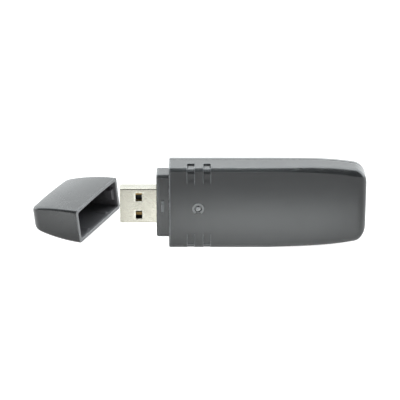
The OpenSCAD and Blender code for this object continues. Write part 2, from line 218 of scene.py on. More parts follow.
print("camera, light and floor")
studio = {
    "target": (0.0142, 0.00098, 0.00077),  # metres
    "distance": 0.6183,
    "elevation": 21.89,
    "lens": 170.3,
    "sensor": 36.0,
    "floorReach": 4.0,
    "worldLight": 6.5,
    "tableGlow": 1.02,
    # the room's tint from the side behind the camera (0) to the far side (1)
    "sky": ((0.47, (0.040, 0.041, 0.042)), (0.72, (0.93, 0.98, 1.0)), (0.90, (0.335, 0.348, 0.352))),
}
# the two glows brighten the table that the plastic mirrors, and aren't mirrored themselves
lights = {
    "backSoftbox": {
        "place": (0.03, 0.40, 0.46), "aim": (0.03, 0.0, 0.0), "size": (0.7, 0.3), "power": 1.0,
        "colour": (0.94, 0.98, 1.0), "spread": 180, "mirrored": True,
    },
    "floorGlow": {
        "place": (0.036, -0.027, 0.12), "aim": (0.036, -0.027, -0.014), "size": (0.078, 0.012), "power": 0.13,
        "colour": (0.95, 1.0, 1.0), "spread": 32, "mirrored": False,
    },
    "capGlow": {
        "place": (-0.050, -0.019, 0.10), "aim": (-0.050, -0.019, -0.014), "size": (0.024, 0.016),
        "power": 0.036, "colour": (0.95, 1.0, 1.0), "spread": 28, "mirrored": False,
    },
}


def lookFrom(target, distance, azimuth, elevation):
    a, e = math.radians(azimuth), math.radians(elevation)
    away = Vector((math.sin(a) * math.cos(e), -math.cos(a) * math.cos(e), math.sin(e)))
    place = Vector(target) + away * distance
    return place, (-away).to_track_quat("-Z", "Y")


cameraData = bpy.data.cameras.new("camera")
cameraData.lens = studio["lens"]
cameraData.sensor_width = studio["sensor"]
cameraData.clip_start = 0.01
cameraData.clip_end = 20
camera = bpy.data.objects.new("camera", cameraData)
camera.location, turned = lookFrom(studio["target"], studio["distance"], 0, studio["elevation"])
camera.rotation_euler = turned.to_euler()
scene.collection.objects.link(camera)
scene.camera = camera
scene.view_settings.view_transform = "Standard"
scene.view_settings.look = "None"


def areaLight(name, look):
    data = bpy.data.lights.new(name, "AREA")
    data.shape = "RECTANGLE"
    data.size, data.size_y = look["size"]
    data.energy = look["power"]
    data.color = look["colour"]
    data.spread = math.radians(look["spread"])
    lamp = bpy.data.objects.new(name, data)
    lamp.visible_camera = False
    lamp.visible_glossy = look["mirrored"]
    lamp.location = look["place"]
    facing = (Vector(look["aim"]) - Vector(look["place"])).normalized()
    lamp.rotation_euler = facing.to_track_quat("-Z", "Y").to_euler()
    scene.collection.objects.link(lamp)


for name, look in lights.items():
    areaLight(name, look)

world = bpy.data.worlds.new("studio")
scene.world = world
world.use_nodes = True
skyTree = world.node_tree
skyTree.nodes.clear()
skyKinds = ("TexCoord", "SeparateXYZ", "MapRange", "ValToRGB", "Background", "OutputWorld")
skyNodes = [skyTree.nodes.new("ShaderNode" + kind) for kind in skyKinds]
skyPlace, skySplit, skyRange, skyRamp, skyBack, skyOut = skyNodes
skyRange.inputs["From Min"].default_value = -1
skyRange.inputs["From Max"].default_value = 1
skyStops = skyRamp.color_ramp.elements
skyStops.new(studio["sky"][-1][0])
for stop, (position, colour) in zip(skyStops, studio["sky"]):
    stop.position = position
    stop.color = (*colour, 1)
skyBack.inputs["Strength"].default_value = studio["worldLight"]
for source, socket in (
    (skyPlace.outputs["Generated"], skySplit.inputs[0]), (skySplit.outputs["Y"], skyRange.inputs["Value"]),
    (skyRange.outputs[0], skyRamp.inputs[0]), (skyRamp.outputs[0], skyBack.inputs["Color"]),
    (skyBack.outputs[0], skyOut.inputs["Surface"]),
):
    skyTree.links.new(source, socket)

print("shader groups")


def newGroup(name, inputs, outputs):
    tree = bpy.data.node_groups.new(name, "ShaderNodeTree")
    for label, value in inputs.items():
        socket = tree.interface.new_socket(label, in_out="INPUT", socket_type="NodeSocketFloat")
        socket.default_value = value
    for label in outputs:
        tree.interface.new_socket(label, in_out="OUTPUT", socket_type="NodeSocketFloat")
    return tree, tree.nodes.new("NodeGroupInput"), tree.nodes.new("NodeGroupOutput")


def addNode(tree, kind, **settings):
    node = tree.nodes.new(kind)
    for key, value in settings.items():
        setattr(node, key, value)
    return node


def joinUp(tree, source, socket):
    # source is a socket or a number
    if isinstance(source, (int, float)):
        socket.default_value = source
    else:
        tree.links.new(source, socket)


def sumNode(tree, operation, a, b=0.0, c=None, clamp=False):
    node = addNode(tree, "ShaderNodeMath", operation=operation, use_clamp=clamp)
    joinUp(tree, a, node.inputs[0])
    joinUp(tree, b, node.inputs[1])
    if c is not None:
        joinUp(tree, c, node.inputs[2])
    return node.outputs[0]


def rangeNode(tree, value, low, high, toLow=0.0, toHigh=1.0):
    node = addNode(tree, "ShaderNodeMapRange", interpolation_type="SMOOTHSTEP")
    joinUp(tree, value, node.inputs["Value"])
    for label, number in (("From Min", low), ("From Max", high), ("To Min", toLow), ("To Max", toHigh)):
        joinUp(tree, number, node.inputs[label])
    return node.outputs["Result"]


def noiseNode(tree, place, scale, detail=3.0, roughness=0.55, distortion=0.0):
    node = addNode(tree, "ShaderNodeTexNoise")
    tree.links.new(place, node.inputs["Vector"])
    joinUp(tree, scale, node.inputs["Scale"])
    node.inputs["Detail"].default_value = detail
    node.inputs["Roughness"].default_value = roughness
    node.inputs["Distortion"].default_value = distortion
    return node.outputs["Fac"]


def objectPlace(tree, stretch=None):
    place = addNode(tree, "ShaderNodeTexCoord").outputs["Object"]
    if stretch is None:
        return place
    mapping = addNode(tree, "ShaderNodeMapping")
    mapping.inputs["Scale"].default_value = stretch
    tree.links.new(place, mapping.inputs["Vector"])
    return mapping.outputs["Vector"]


def buildGrain():
    # the fine spark-eroded texture of a mould, with a slow unevenness under it
    inputs = {"Scale": 9000.0, "Depth": 1.0, "Waviness": 0.3}
    tree, inp, out = newGroup("mouldGrain", inputs, ["Height", "Tone"])
    place = objectPlace(tree)
    cells = addNode(tree, "ShaderNodeTexVoronoi", feature="SMOOTH_F1")
    tree.links.new(place, cells.inputs["Vector"])
    tree.links.new(inp.outputs["Scale"], cells.inputs["Scale"])
    fine = noiseNode(tree, place, sumNode(tree, "MULTIPLY", inp.outputs["Scale"], 1.7), 2.0)
    slow = noiseNode(tree, place, sumNode(tree, "MULTIPLY", inp.outputs["Scale"], 0.03), 2.0)
    halfFine = sumNode(tree, "MULTIPLY", fine, 0.5)
    bumps = sumNode(tree, "MULTIPLY_ADD", cells.outputs["Distance"], 0.5, halfFine)
    height = sumNode(tree, "MULTIPLY_ADD", slow, inp.outputs["Waviness"], bumps)
    tree.links.new(sumNode(tree, "MULTIPLY", height, inp.outputs["Depth"]), out.inputs["Height"])
    tree.links.new(rangeNode(tree, fine, 0.3, 0.7), out.inputs["Tone"])
    return tree


def buildRubAndSheen():
    # worn edges, and on the front shell and the cap's rim partly painted edge highlight: the edge attribute
    # broken up by two noises, less so as Evenness nears 1
    tree, inp, out = newGroup("edgeRub", {"Amount": 0.5, "Breakup": 900.0, "Evenness": 0.0}, ["Mask"])
    wear = addNode(tree, "ShaderNodeAttribute", attribute_name="wear")
    place = objectPlace(tree)
    coarse = noiseNode(tree, place, inp.outputs["Breakup"], 4.0, 0.6)
    fine = noiseNode(tree, place, sumNode(tree, "MULTIPLY", inp.outputs["Breakup"], 7.0), 2.0)
    broken = sumNode(tree, "MULTIPLY", rangeNode(tree, coarse, 0.35, 0.65), rangeNode(tree, fine, 0.25, 0.6))
    gaps = sumNode(tree, "SUBTRACT", 1.0, broken)
    whole = sumNode(tree, "MULTIPLY_ADD", gaps, inp.outputs["Evenness"], broken)
    mask = sumNode(tree, "MULTIPLY", wear.outputs["Fac"], whole)
    tree.links.new(sumNode(tree, "MULTIPLY", mask, inp.outputs["Amount"], clamp=True), out.inputs["Mask"])
    return tree


def buildDust():
    # fine dust that has settled on what faces up
    tree, inp, out = newGroup("settledDust", {"Amount": 0.2, "Scale": 5200.0}, ["Mask"])
    facing = addNode(tree, "ShaderNodeSeparateXYZ")
    tree.links.new(addNode(tree, "ShaderNodeNewGeometry").outputs["Normal"], facing.inputs[0])
    place = objectPlace(tree)
    specks = rangeNode(tree, noiseNode(tree, place, inp.outputs["Scale"], 1.0), 0.62, 0.72)
    cloudScale = sumNode(tree, "MULTIPLY", inp.outputs["Scale"], 0.05)
    cloud = rangeNode(tree, noiseNode(tree, place, cloudScale, 3.0), 0.4, 0.7)
    fall = rangeNode(tree, facing.outputs["Z"], 0.2, 0.95)
    both = sumNode(tree, "MULTIPLY_ADD", cloud, 0.35, specks)
    mask = sumNode(tree, "MULTIPLY", both, fall)
    tree.links.new(sumNode(tree, "MULTIPLY", mask, inp.outputs["Amount"], clamp=True), out.inputs["Mask"])
    return tree


def buildTouch():
    # faint marks of handling and fine hairline scratches
    tree, inp, out = newGroup("handMarks", {"Smudge": 0.5, "Scratch": 0.5}, ["Rough", "Line"])
    place = objectPlace(tree)
    cloud = noiseNode(tree, place, 140.0, 3.0, 0.6, 0.8)
    smudge = sumNode(tree, "MULTIPLY", rangeNode(tree, cloud, 0.42, 0.68), inp.outputs["Smudge"])
    tree.links.new(smudge, out.inputs["Rough"])
    lines = None
    for turn, stretch in ((0.35, (160, 900, 3800)), (-0.6, (3600, 900, 190))):
        mapping = addNode(tree, "ShaderNodeMapping")
        mapping.inputs["Rotation"].default_value = (0, turn, 0)
        mapping.inputs["Scale"].default_value = stretch
        tree.links.new(place, mapping.inputs["Vector"])
        streak = rangeNode(tree, noiseNode(tree, mapping.outputs["Vector"], 1.0, 1.0), 0.74, 0.8)
        lines = streak if lines is None else sumNode(tree, "MAXIMUM", lines, streak)
    tree.links.new(sumNode(tree, "MULTIPLY", lines, inp.outputs["Scratch"]), out.inputs["Line"])
    return tree


mouldGrain = buildGrain()
edgeRub = buildRubAndSheen()
settledDust = buildDust()
handMarks = buildTouch()

print("materials")


def useGroup(tree, group, **values):
    node = addNode(tree, "ShaderNodeGroup", node_tree=group)
    for label, value in values.items():
        node.inputs[label].default_value = value
    return node.outputs


def blendColour(tree, mask, a, b):
    node = addNode(tree, "ShaderNodeMix", data_type="RGBA")
    joinUp(tree, mask, node.inputs[0])
    for source, socket in ((a, node.inputs[6]), (b, node.inputs[7])):
        if isinstance(source, tuple):
            socket.default_value = (*source, 1)
        else:
            tree.links.new(source, socket)
    return node.outputs[2]


def newMaterial(name):
    material = bpy.data.materials.new(name)
    material.use_nodes = True
    return material, material.node_tree, material.node_tree.nodes["Principled BSDF"]


def finishShader(tree, shader, colour, rough, height, distance):
    bump = addNode(tree, "ShaderNodeBump")
    bump.inputs["Distance"].default_value = distance
    tree.links.new(height, bump.inputs["Height"])
    tree.links.new(bump.outputs[0], shader.inputs["Normal"])
    tree.links.new(colour, shader.inputs["Base Color"])
    tree.links.new(rough, shader.inputs["Roughness"])


dustColour = (0.42, 0.41, 0.39)


def mouldedPlastic(name, look):
    # glossy or satin plastic: grain, handling marks, worn edges that on the front shell and the cap's rim are
    # partly painted highlight, dust
    material, tree, shader = newMaterial(name)
    grain = useGroup(tree, mouldGrain, Scale=look["grainScale"], Depth=1.0, Waviness=look["waviness"])
    marks = useGroup(tree, handMarks, Smudge=look["smudge"], Scratch=look["scratch"])
    rubAndSheen = useGroup(tree, edgeRub, Amount=look["rubAndSheen"], Breakup=900.0, Evenness=look["evenness"])["Mask"]
    dust = useGroup(tree, settledDust, Amount=look["dust"], Scale=5200.0)["Mask"]
    base = blendColour(tree, grain["Tone"], look["dark"], look["light"])
    base = blendColour(tree, rubAndSheen, base, look["wornAndSheen"])
    base = blendColour(tree, dust, base, dustColour)
    rough = sumNode(tree, "MULTIPLY_ADD", grain["Tone"], 0.04, look["rough"])
    rough = sumNode(tree, "MULTIPLY_ADD", marks["Rough"], 0.09, rough)
    rough = sumNode(tree, "MULTIPLY_ADD", marks["Line"], 0.12, rough)
    rough = sumNode(tree, "MULTIPLY_ADD", rubAndSheen, 0.25, rough)
    rough = sumNode(tree, "MULTIPLY_ADD", dust, 0.4, rough, clamp=True)
    shader.inputs["IOR"].default_value = look["ior"]
    height = sumNode(tree, "MULTIPLY_ADD", marks["Line"], -0.6, grain["Height"])
    finishShader(tree, shader, base, rough, height, look["bump"])
    return material


def sheetMetal(name, look):
    # plated or tinned sheet: rolling lines, slight staining, rubbed edges
    material, tree, shader = newMaterial(name)
    place = objectPlace(tree, look["rolling"])
    lines = noiseNode(tree, place, 1.0, 4.0, 0.7)
    stain = noiseNode(tree, objectPlace(tree), look["stainScale"], 4.0, 0.6, 0.5)
    rubAndSheen = useGroup(tree, edgeRub, Amount=look["rubAndSheen"], Breakup=1400.0)["Mask"]
    marks = useGroup(tree, handMarks, Smudge=0.4, Scratch=0.3)
    base = blendColour(tree, rangeNode(tree, stain, 0.35, 0.7), look["dark"], look["light"])
    base = blendColour(tree, rubAndSheen, base, look["wornAndSheen"])
    shader.inputs["Metallic"].default_value = 1.0
    rough = sumNode(tree, "MULTIPLY_ADD", lines, 0.12, look["rough"])
    rough = sumNode(tree, "MULTIPLY_ADD", marks["Rough"], 0.12, rough)
    rough = sumNode(tree, "MULTIPLY_ADD", marks["Line"], 0.15, rough)
    height = sumNode(tree, "MULTIPLY_ADD", marks["Line"], -0.5, lines)
    finishShader(tree, shader, base, rough, height, look["bump"])
    return material


shellLook = {
    "dark": (0.0062, 0.0066, 0.0070), "light": (0.0090, 0.0095, 0.0100), "wornAndSheen": (0.040, 0.042, 0.043),
    "rough": 0.17, "ior": 1.46, "grainScale": 9000.0, "waviness": 0.02, "bump": 0.0000012,
    "smudge": 0.5, "scratch": 0.3, "rubAndSheen": 0.2, "evenness": 0.6, "dust": 0.05,
}
# the front shell's edges take a lighter, nearly unbroken edge colour: partly rubbed wear, partly painted
# highlight along the edges
frontPlastic = mouldedPlastic("frontPlastic", {
    **shellLook, "wornAndSheen": (0.15, 0.158, 0.165), "rubAndSheen": 0.35, "evenness": 0.8,
})
rearPlastic = mouldedPlastic("rearPlastic", {**shellLook, "rough": 0.10, "ior": 1.72})
capPlastic = mouldedPlastic("capPlastic", {**shellLook, "rough": 0.2})
# the cap's inside: the same plastic given a much lighter, matte grey, which is painted glare
innerPlastic = mouldedPlastic("innerPlastic", {
    **shellLook, "dark": (0.050, 0.049, 0.054), "light": (0.064, 0.063, 0.069), "rough": 0.6, "rubAndSheen": 0.1,
    "bump": 0.000004, "wornAndSheen": (0.09, 0.09, 0.09),
})
# the cap's rim round the mouth: a lighter grey, lighter still at its edges, which is painted highlight for
# the light the rim catches
rimPlastic = mouldedPlastic("rimPlastic", {
    **shellLook, "dark": (0.085, 0.088, 0.092), "light": (0.115, 0.119, 0.124), "rough": 0.3,
    "wornAndSheen": (0.2, 0.2, 0.2), "rubAndSheen": 0.5,
})
# the raised open ring round the light takes a lighter grey than the front shell
ringPaint = mouldedPlastic("ringPaint", {
    **shellLook, "dark": (0.050, 0.052, 0.052), "light": (0.068, 0.070, 0.070), "rough": 0.3,
    "wornAndSheen": (0.2, 0.2, 0.2), "bump": 0.000002,
})
insulatorPlastic = mouldedPlastic("insulatorPlastic", {
    **shellLook, "dark": (0.006, 0.006, 0.006), "light": (0.013, 0.013, 0.013), "rough": 0.42, "scratch": 0.1,
    "grainScale": 14000.0, "wornAndSheen": (0.05, 0.05, 0.05), "dust": 0.05,
})
chipResin = mouldedPlastic("chipResin", {
    **shellLook, "dark": (0.018, 0.018, 0.020), "light": (0.034, 0.034, 0.036), "rough": 0.5,
    "grainScale": 20000.0, "bump": 0.000003, "wornAndSheen": (0.10, 0.10, 0.10),
})
plugSteel = sheetMetal("plugSteel", {
    "dark": (0.292, 0.281, 0.241), "light": (0.314, 0.303, 0.262), "wornAndSheen": (0.52, 0.51, 0.46), "rough": 0.2,
    "rolling": (300, 9000, 9000), "stainScale": 260.0, "rubAndSheen": 0.7, "bump": 0.0000012,
})
shieldSteel = sheetMetal("shieldSteel", {
    "dark": (0.42, 0.42, 0.40), "light": (0.56, 0.56, 0.54), "wornAndSheen": (0.7, 0.7, 0.68), "rough": 0.28,
    "rolling": (7000, 9000, 400), "stainScale": 400.0, "rubAndSheen": 0.5, "bump": 0.0000015,
})
contactGold = sheetMetal("contactGold", {
    "dark": (0.20, 0.135, 0.055), "light": (0.31, 0.215, 0.095), "wornAndSheen": (0.30, 0.25, 0.18), "rough": 0.26,
    "rolling": (400, 12000, 12000), "stainScale": 900.0, "rubAndSheen": 0.6, "bump": 0.000001,
})
trackCopper = sheetMetal("trackCopper", {
    "dark": (0.42, 0.20, 0.10), "light": (0.62, 0.33, 0.17), "wornAndSheen": (0.7, 0.45, 0.28), "rough": 0.32,
    "rolling": (5000, 9000, 5000), "stainScale": 1200.0, "rubAndSheen": 0.4, "bump": 0.000002,
})


def solderMask():
    # green lacquer over glass cloth, with the buried copper pour just showing
    material, tree, shader = newMaterial("solderMask")
    weave = None
    for stretch in ((3800, 900, 60), (60, 900, 3800)):
        strand = noiseNode(tree, objectPlace(tree, stretch), 1.0, 2.0)
        weave = strand if weave is None else sumNode(tree, "ADD", weave, strand)
    pour = addNode(tree, "ShaderNodeTexBrick", offset=0.5, squash=1.0)
    tree.links.new(objectPlace(tree), pour.inputs["Vector"])
    pour.inputs["Scale"].default_value = 420.0
    pour.inputs["Mortar Size"].default_value = 0.06
    base = blendColour(tree, pour.outputs["Fac"], (0.012, 0.10, 0.045), (0.006, 0.060, 0.028))
    base = blendColour(tree, rangeNode(tree, weave, 0.8, 1.2), base, (0.016, 0.12, 0.055))
    rough = rangeNode(tree, weave, 0.7, 1.3, 0.22, 0.36)
    finishShader(tree, shader, base, rough, sumNode(tree, "ADD", weave, pour.outputs["Fac"]), 0.000004)
    return material


def softPad():
    material, tree, shader = newMaterial("softPad")
    grit = noiseNode(tree, objectPlace(tree), 9000.0, 3.0)
    base = blendColour(tree, rangeNode(tree, grit, 0.35, 0.65), (0.20, 0.22, 0.30), (0.28, 0.30, 0.38))
    finishShader(tree, shader, base, rangeNode(tree, grit, 0.3, 0.7, 0.7, 0.9), grit, 0.00001)
    return material


def tinnedBlock(name, bodyDark, bodyLight):
    # ceramic body whose two ends, marked by the ends attribute, are tinned
    material, tree, shader = newMaterial(name)
    ends = addNode(tree, "ShaderNodeAttribute", attribute_name="ends").outputs["Fac"]
    place = objectPlace(tree)
    grit = noiseNode(tree, place, 16000.0, 3.0)
    ceramic = blendColour(tree, rangeNode(tree, grit, 0.35, 0.65), bodyDark, bodyLight)
    tin = blendColour(tree, noiseNode(tree, place, 5000.0), (0.45, 0.45, 0.44), (0.66, 0.66, 0.65))
    tree.links.new(ends, shader.inputs["Metallic"])
    rough = rangeNode(tree, grit, 0.3, 0.7, 0.3, 0.5)
    finishShader(tree, shader, blendColour(tree, ends, ceramic, tin), rough, grit, 0.000004)
    return material


def ledResin():
    material, tree, shader = newMaterial("ledResin")
    cloud = noiseNode(tree, objectPlace(tree), 3000.0, 2.0)
    base = blendColour(tree, cloud, (0.62, 0.58, 0.40), (0.80, 0.78, 0.60))
    finishShader(tree, shader, base, rangeNode(tree, cloud, 0.3, 0.7, 0.25, 0.4), cloud, 0.000003)
    return material


def frostedPipe():
    # milky polycarbonate with a finely rough face
    material, tree, shader = newMaterial("frostedPipe")
    place = objectPlace(tree)
    cloud = noiseNode(tree, place, 2600.0, 3.0)
    base = blendColour(tree, rangeNode(tree, cloud, 0.3, 0.7), (0.080, 0.082, 0.084), (0.112, 0.114, 0.116))
    rough = rangeNode(tree, cloud, 0.3, 0.7, 0.22, 0.36)
    shader.inputs["IOR"].default_value = 1.58
    finishShader(tree, shader, base, rough, noiseNode(tree, place, 12000.0, 2.0), 0.000003)
    return material


def labelFilm():
    # blank satin film with a faint paper fleck and a slightly grubby rim
    material, tree, shader = newMaterial("labelFilm")
    place = objectPlace(tree)
    fleck = noiseNode(tree, place, 7000.0, 3.0)
    cloud = noiseNode(tree, place, 120.0, 3.0, 0.6, 0.6)
    rubAndSheen = useGroup(tree, edgeRub, Amount=0.8, Breakup=700.0)["Mask"]
    base = blendColour(tree, rangeNode(tree, fleck, 0.3, 0.7), (0.215, 0.215, 0.210), (0.245, 0.245, 0.238))
    base = blendColour(tree, rangeNode(tree, cloud, 0.45, 0.8), base, (0.20, 0.197, 0.186))
    base = blendColour(tree, rubAndSheen, base, (0.13, 0.126, 0.118))
    finishShader(tree, shader, base, rangeNode(tree, cloud, 0.3, 0.7, 0.34, 0.5), fleck, 0.000004)
    return material


boardGreen = solderMask()
padGrey = softPad()
tanCeramic = tinnedBlock("tanCeramic", (0.20, 0.14, 0.08), (0.27, 0.19, 0.11))
blackFilm = tinnedBlock("blackFilm", (0.012, 0.012, 0.013), (0.030, 0.030, 0.032))
ledCream = ledResin()
pipeFrost = frostedPipe()
labelWhite = labelFilm()


def floorPaint():
    material, tree, shader = newMaterial("paleSweep")
    cloud = noiseNode(tree, objectPlace(tree), 3.0, 3.0)
    base = blendColour(tree, cloud, (0.24, 0.24, 0.24), (0.26, 0.26, 0.258))
    shader.inputs["Emission Color"].default_value = (1, 1, 1, 1)
    shader.inputs["Emission Strength"].default_value = studio["tableGlow"]
    rough = rangeNode(tree, cloud, 0.3, 0.7, 0.75, 0.85)
    finishShader(tree, shader, base, rough, noiseNode(tree, objectPlace(tree), 900.0), 0.00002)
    return material


reach = studio["floorReach"]
floorMesh = bpy.data.meshes.new("floor")
corners = [(x * reach, y * reach, cadBox[0][2]) for x, y in ((-1, -1), (1, -1), (1, 1), (-1, 1))]
floorMesh.from_pydata(corners, [], [(0, 1, 2, 3)])
floorMesh.materials.append(floorPaint())
floor = bpy.data.objects.new("floor", floorMesh)
scene.collection.objects.link(floor)

print("shells")
frontHigh = boxMm("front_shell")[1]
rearHigh = boxMm("rear_shell")[1]
shell = {
    "wall": 1.3,
    "crown": 0.3,
    "collarLen": 4.1,
    "collarHalf": 10.95,
    "collarDepthFront": 6.75,  # from the parting line to the collar's front face
    "collarDepthRear": 0.95,
    "collarRound": 1.2,
    "collarEdge": 0.7,
    "stepEdge": 0.4,
    "bodyEdge": 1.3,
    "bodyEdgeGrowth": 1.2,
    "rearEdge": 1.5,
    "sideFall": 2.1,
    "sideCurve": 3.6,
    "frontFall": 1.4,
    "frontCurve": 1.1,
    "endCorner": 4.2,
    "frontRound": 3.4,
    "rearRound": 1.2,
    "endBulge": 0.12,
    "seamChamfer": 0.18,  # along Y, on each side of the parting line
    "seamSlope": 1.5,  # the V's depth as a multiple of that
    "rearDraft": 0.12,
    "bodyFront": -5.0,
}
partingY = frontHigh[1]
bodyHalf = frontHigh[2]
bodyEnd = frontHigh[0] - shell["endBulge"]
bodyStart = shell["collarLen"]
taperStart = bodyStart + (frontHigh[0] - bodyStart) / 2
groove = {
    "starts": (5.9, 11.15), "width": 2.45, "depth": 0.45, "onFront": 5.7, "onSide": 4.9, "soft": 0.11,
    "faceDepth": 0.28, "lowerDepth": 0.1, "runOut": 2.6, "fade": 0.6,
}
light = {
    "fromStep": 9.5, "bore": 0.85, "recess": 1.2, "recessDepth": 0.6, "ring": 1.9, "rise": 0.12, "patch": 3.2,
    "gapAngle": 33.0, "gapSoft": 5.0, "behind": 1.8,
}
# the grid's lines round the light meet the edge of its square patch at these angles
spokeAngles = [0, 5.6, 11.2, 16.9, 22.5, 28, 31, 33, 35, 39.5, 45]
spokes = [light["patch"] * math.tan(math.radians(a)) for a in spokeAngles]
ridge = {"width": 1.1, "disc": 8.0, "rise": 0.3, "soft": 0.11, "reach": 3}
label = {"length": 30.0, "width": 17.0, "depth": 0.15, "soft": 0.05, "corner": 1.6}
lightX = bodyStart + light["fromStep"]
labelLow, labelHigh = boxMm("rating_label")
labelX = (labelLow[0] + labelHigh[0]) / 2


def taperAt(x):
    return max(0.0, x - taperStart) / (bodyEnd - taperStart)


def halfAt(x, inset):
    drawn = shell["sideFall"] * taperAt(x) ** shell["sideCurve"]
    return bodyHalf - inset - drawn - roundIn(bodyEnd - x - inset, shell["endCorner"] - inset)


def frontDepthAt(x, inset):
    fall = shell["frontFall"] * taperAt(x) ** shell["frontCurve"]
    plain = partingY - shell["bodyFront"] - inset - fall
    return plain - roundIn(bodyEnd - x - inset, shell["frontRound"] - inset)


def rearDepthAt(x, inset):
    return rearHigh[1] - partingY - inset - roundIn(bodyEnd - x - inset, shell["rearRound"])


def section(x, half, depth, r, crown=0):
    return {"x": x, "half": half, "depth": depth, "r": r, "crown": crown, "pull": 1.0}


def bodySection(x, inset, side):
    soft = 0.4 + 0.6 * min(1.0, max(0.0, bodyEnd - x) / shell["endCorner"])
    if side < 0:
        r = shell["bodyEdge"] + shell["bodyEdgeGrowth"] * taperAt(x) - inset / 2
        depth = frontDepthAt(x, inset)
    else:
        r = shell["rearEdge"] - inset
        depth = rearDepthAt(x, inset)
    r = min(soft * max(0.6, r), depth - 0.1)
    return section(x, halfAt(x, inset), depth, r, shell["crown"] if side < 0 else 0)


def collarSection(x, inset, side, edge=0.0):
    depth = shell["collarDepthFront"] if side < 0 else shell["collarDepthRear"]
    depth = depth - (inset if side < 0 else min(inset, 0.45)) - edge
    r = min(max(0.3, shell["collarRound"] - inset - edge), depth - 0.05)
    return section(x, shell["collarHalf"] - inset - edge, depth, r)


def roundedLift(edge, s):
    # how far along a rounded rim lies the section that has come a share s of the way out
    return edge * (1 - math.sqrt(1 - s * s)) if s < 1 else edge


def shellRows(side, inset):
    # one section for each station, from the collar's end face to the body's far end
    turn = [math.sin(math.pi / 2 * k / 4) for k in range(5)]
    edge = shell["collarEdge"]
    first = collarSection(inset, inset, side, edge)
    rows = [{**first, "pull": p} for p in (0.0, 0.5)]
    rows += [collarSection(inset + roundedLift(edge, s), inset, side, edge * (1 - s)) for s in turn]
    ridgeX = (bodyStart - ridge["width"]) / 2
    lines = around(ridgeX, ridge["soft"]) + around(ridgeX + ridge["width"], ridge["soft"])
    lines += [0.8, 3.2, 3.7, bodyStart]
    rows += [collarSection(inset + x, inset, side) for x in tidyLines(lines)]
    step = bodySection(bodyStart + inset + 0.001, inset, side)
    soft = shell["stepEdge"]
    for s in turn:
        drawn = soft * (1 - s)
        rows.append({**step, "x": bodyStart + inset + roundedLift(soft, s), "half": step["half"] - drawn,
                     "depth": step["depth"] - drawn, "r": max(0.3, step["r"] - drawn)})
    lines = [lightX + sign * d for d in spokes for sign in (-1, 1)]
    for start in groove["starts"]:
        low, high = bodyStart + start, bodyStart + start + groove["width"]
        lines += around(low, groove["soft"]) + around(high, groove["soft"]) + spread(low + 0.4, high - 0.4, 4)
    lines += [bodyStart + d for d in (0.42, 0.6, 0.9, 1.4, 2.2, 3.2, 4.4, 5.2)] + spread(18.6, taperStart, 24)
    for end in (-1, 1):
        lines += around(labelX + end * label["length"] / 2, label["soft"])
    lines += spread(taperStart + 0.6, bodyEnd - shell["endCorner"], 50)
    # near the step the inner skin's sections are squeezed together, so that its wall stays behind the step
    bodyLow, innerLow, meet = bodyStart + soft, bodyStart + soft + inset, 8.4
    squeeze = (meet - innerLow) / (meet - bodyLow)
    for x in tidyLines(lines):
        rows.append(bodySection(x if x > meet else innerLow + (x - bodyLow) * squeeze, inset, side))
    corner = shell["endCorner"]
    for k in range(1, 17):
        d = corner * (1 - math.sin(math.pi / 2 * k / 16))
        rows.append(bodySection(bodyEnd - inset - d * (1 - inset / corner), inset, side))
    last = rows[-1]
    for pull, share in ((0.7, 0.6), (0.35, 0.9), (0.0, 1.0)):
        rows.append({**last, "x": last["x"] + shell["endBulge"] * share, "pull": pull})
    return rows


def shellColumns(side):
    # the section's columns: (part of the section, place on it, reference distance from the middle)
    if side < 0:
        r, depth, crown = shell["bodyEdge"], partingY - shell["bodyFront"], shell["crown"]
    else:
        r, depth, crown = shell["rearEdge"], rearHigh[1] - partingY, 0
    flat = bodyHalf - r
    sideLen = depth - r
    grooveEnd = groove["onSide"] - r - crown
    sideLines = [0, sideLen - 0.2, sideLen - 0.1, sideLen] + spread(0, sideLen, 9)
    faceLines = spread(0, flat, 12) + [flat - 0.25]
    if side < 0:
        sideLines += around(grooveEnd - groove["soft"], groove["soft"])
        faceLines += spread(bodyHalf - groove["onFront"], bodyHalf - groove["onFront"] + groove["runOut"], 5)
        faceLines += [flat - 0.45]
        faceLines += spokes
    else:
        faceLines += around(label["width"] / 2, label["soft"])
    faceLines += [0.5, 1.1, 1.6, 1.9, 2.2, 2.5]  # the snap ridge's height changes here
    sideLines = [v for v in tidyLines(sideLines) if v <= sideLen - 0.12] + [sideLen]
    faceLines = tidyLines([v for v in faceLines if 0 <= v <= flat - 0.2] + [flat])
    arcs = 13
    columns = []
    for v in reversed(sideLines):
        columns.append(("side", v / sideLen, flat + r * math.pi / 2 + v))
    for k in range(arcs - 1, 0, -1):
        columns.append(("arc", k / arcs, flat + r * math.pi / 2 * k / arcs))
    for v in reversed(faceLines):
        columns.append(("face", v / flat, v))
    mirrored = [(kind, -at if kind == "face" else at, -ref) for kind, at, ref in reversed(columns)
                if not (kind == "face" and at == 0)]
    return columns + mirrored


def sectionPoint(row, kind, at, ref, side):
    top = 1 if ref >= 0 else -1
    half, depth, r = row["half"], row["depth"], row["r"]
    if kind == "side":  # at runs from 0 at the corner to 1 at the parting line
        q, z, nq, nz = (depth - r) * (1 - at), half, 0.0, 1.0
        z -= shell["seamChamfer"] * max(0.0, 1 - q / shell["seamChamfer"]) * shell["seamSlope"]
    elif kind == "arc":
        a = math.pi / 2 * at
        q, z, nq, nz = depth - r + r * math.cos(a), half - r + r * math.sin(a), math.cos(a), math.sin(a)
    else:
        q, z, nq, nz = depth, abs(at) * (half - r), 1.0, 0.0
    if side > 0:
        z -= shell["rearDraft"] * min(1.0, q / depth) * row["half"] / bodyHalf
    weight = min(1.0, q / max(0.5, depth - r))
    q -= row["crown"] * (z / max(half, 1e-6)) ** 2 * weight
    return q, top * z, nq, top * nz


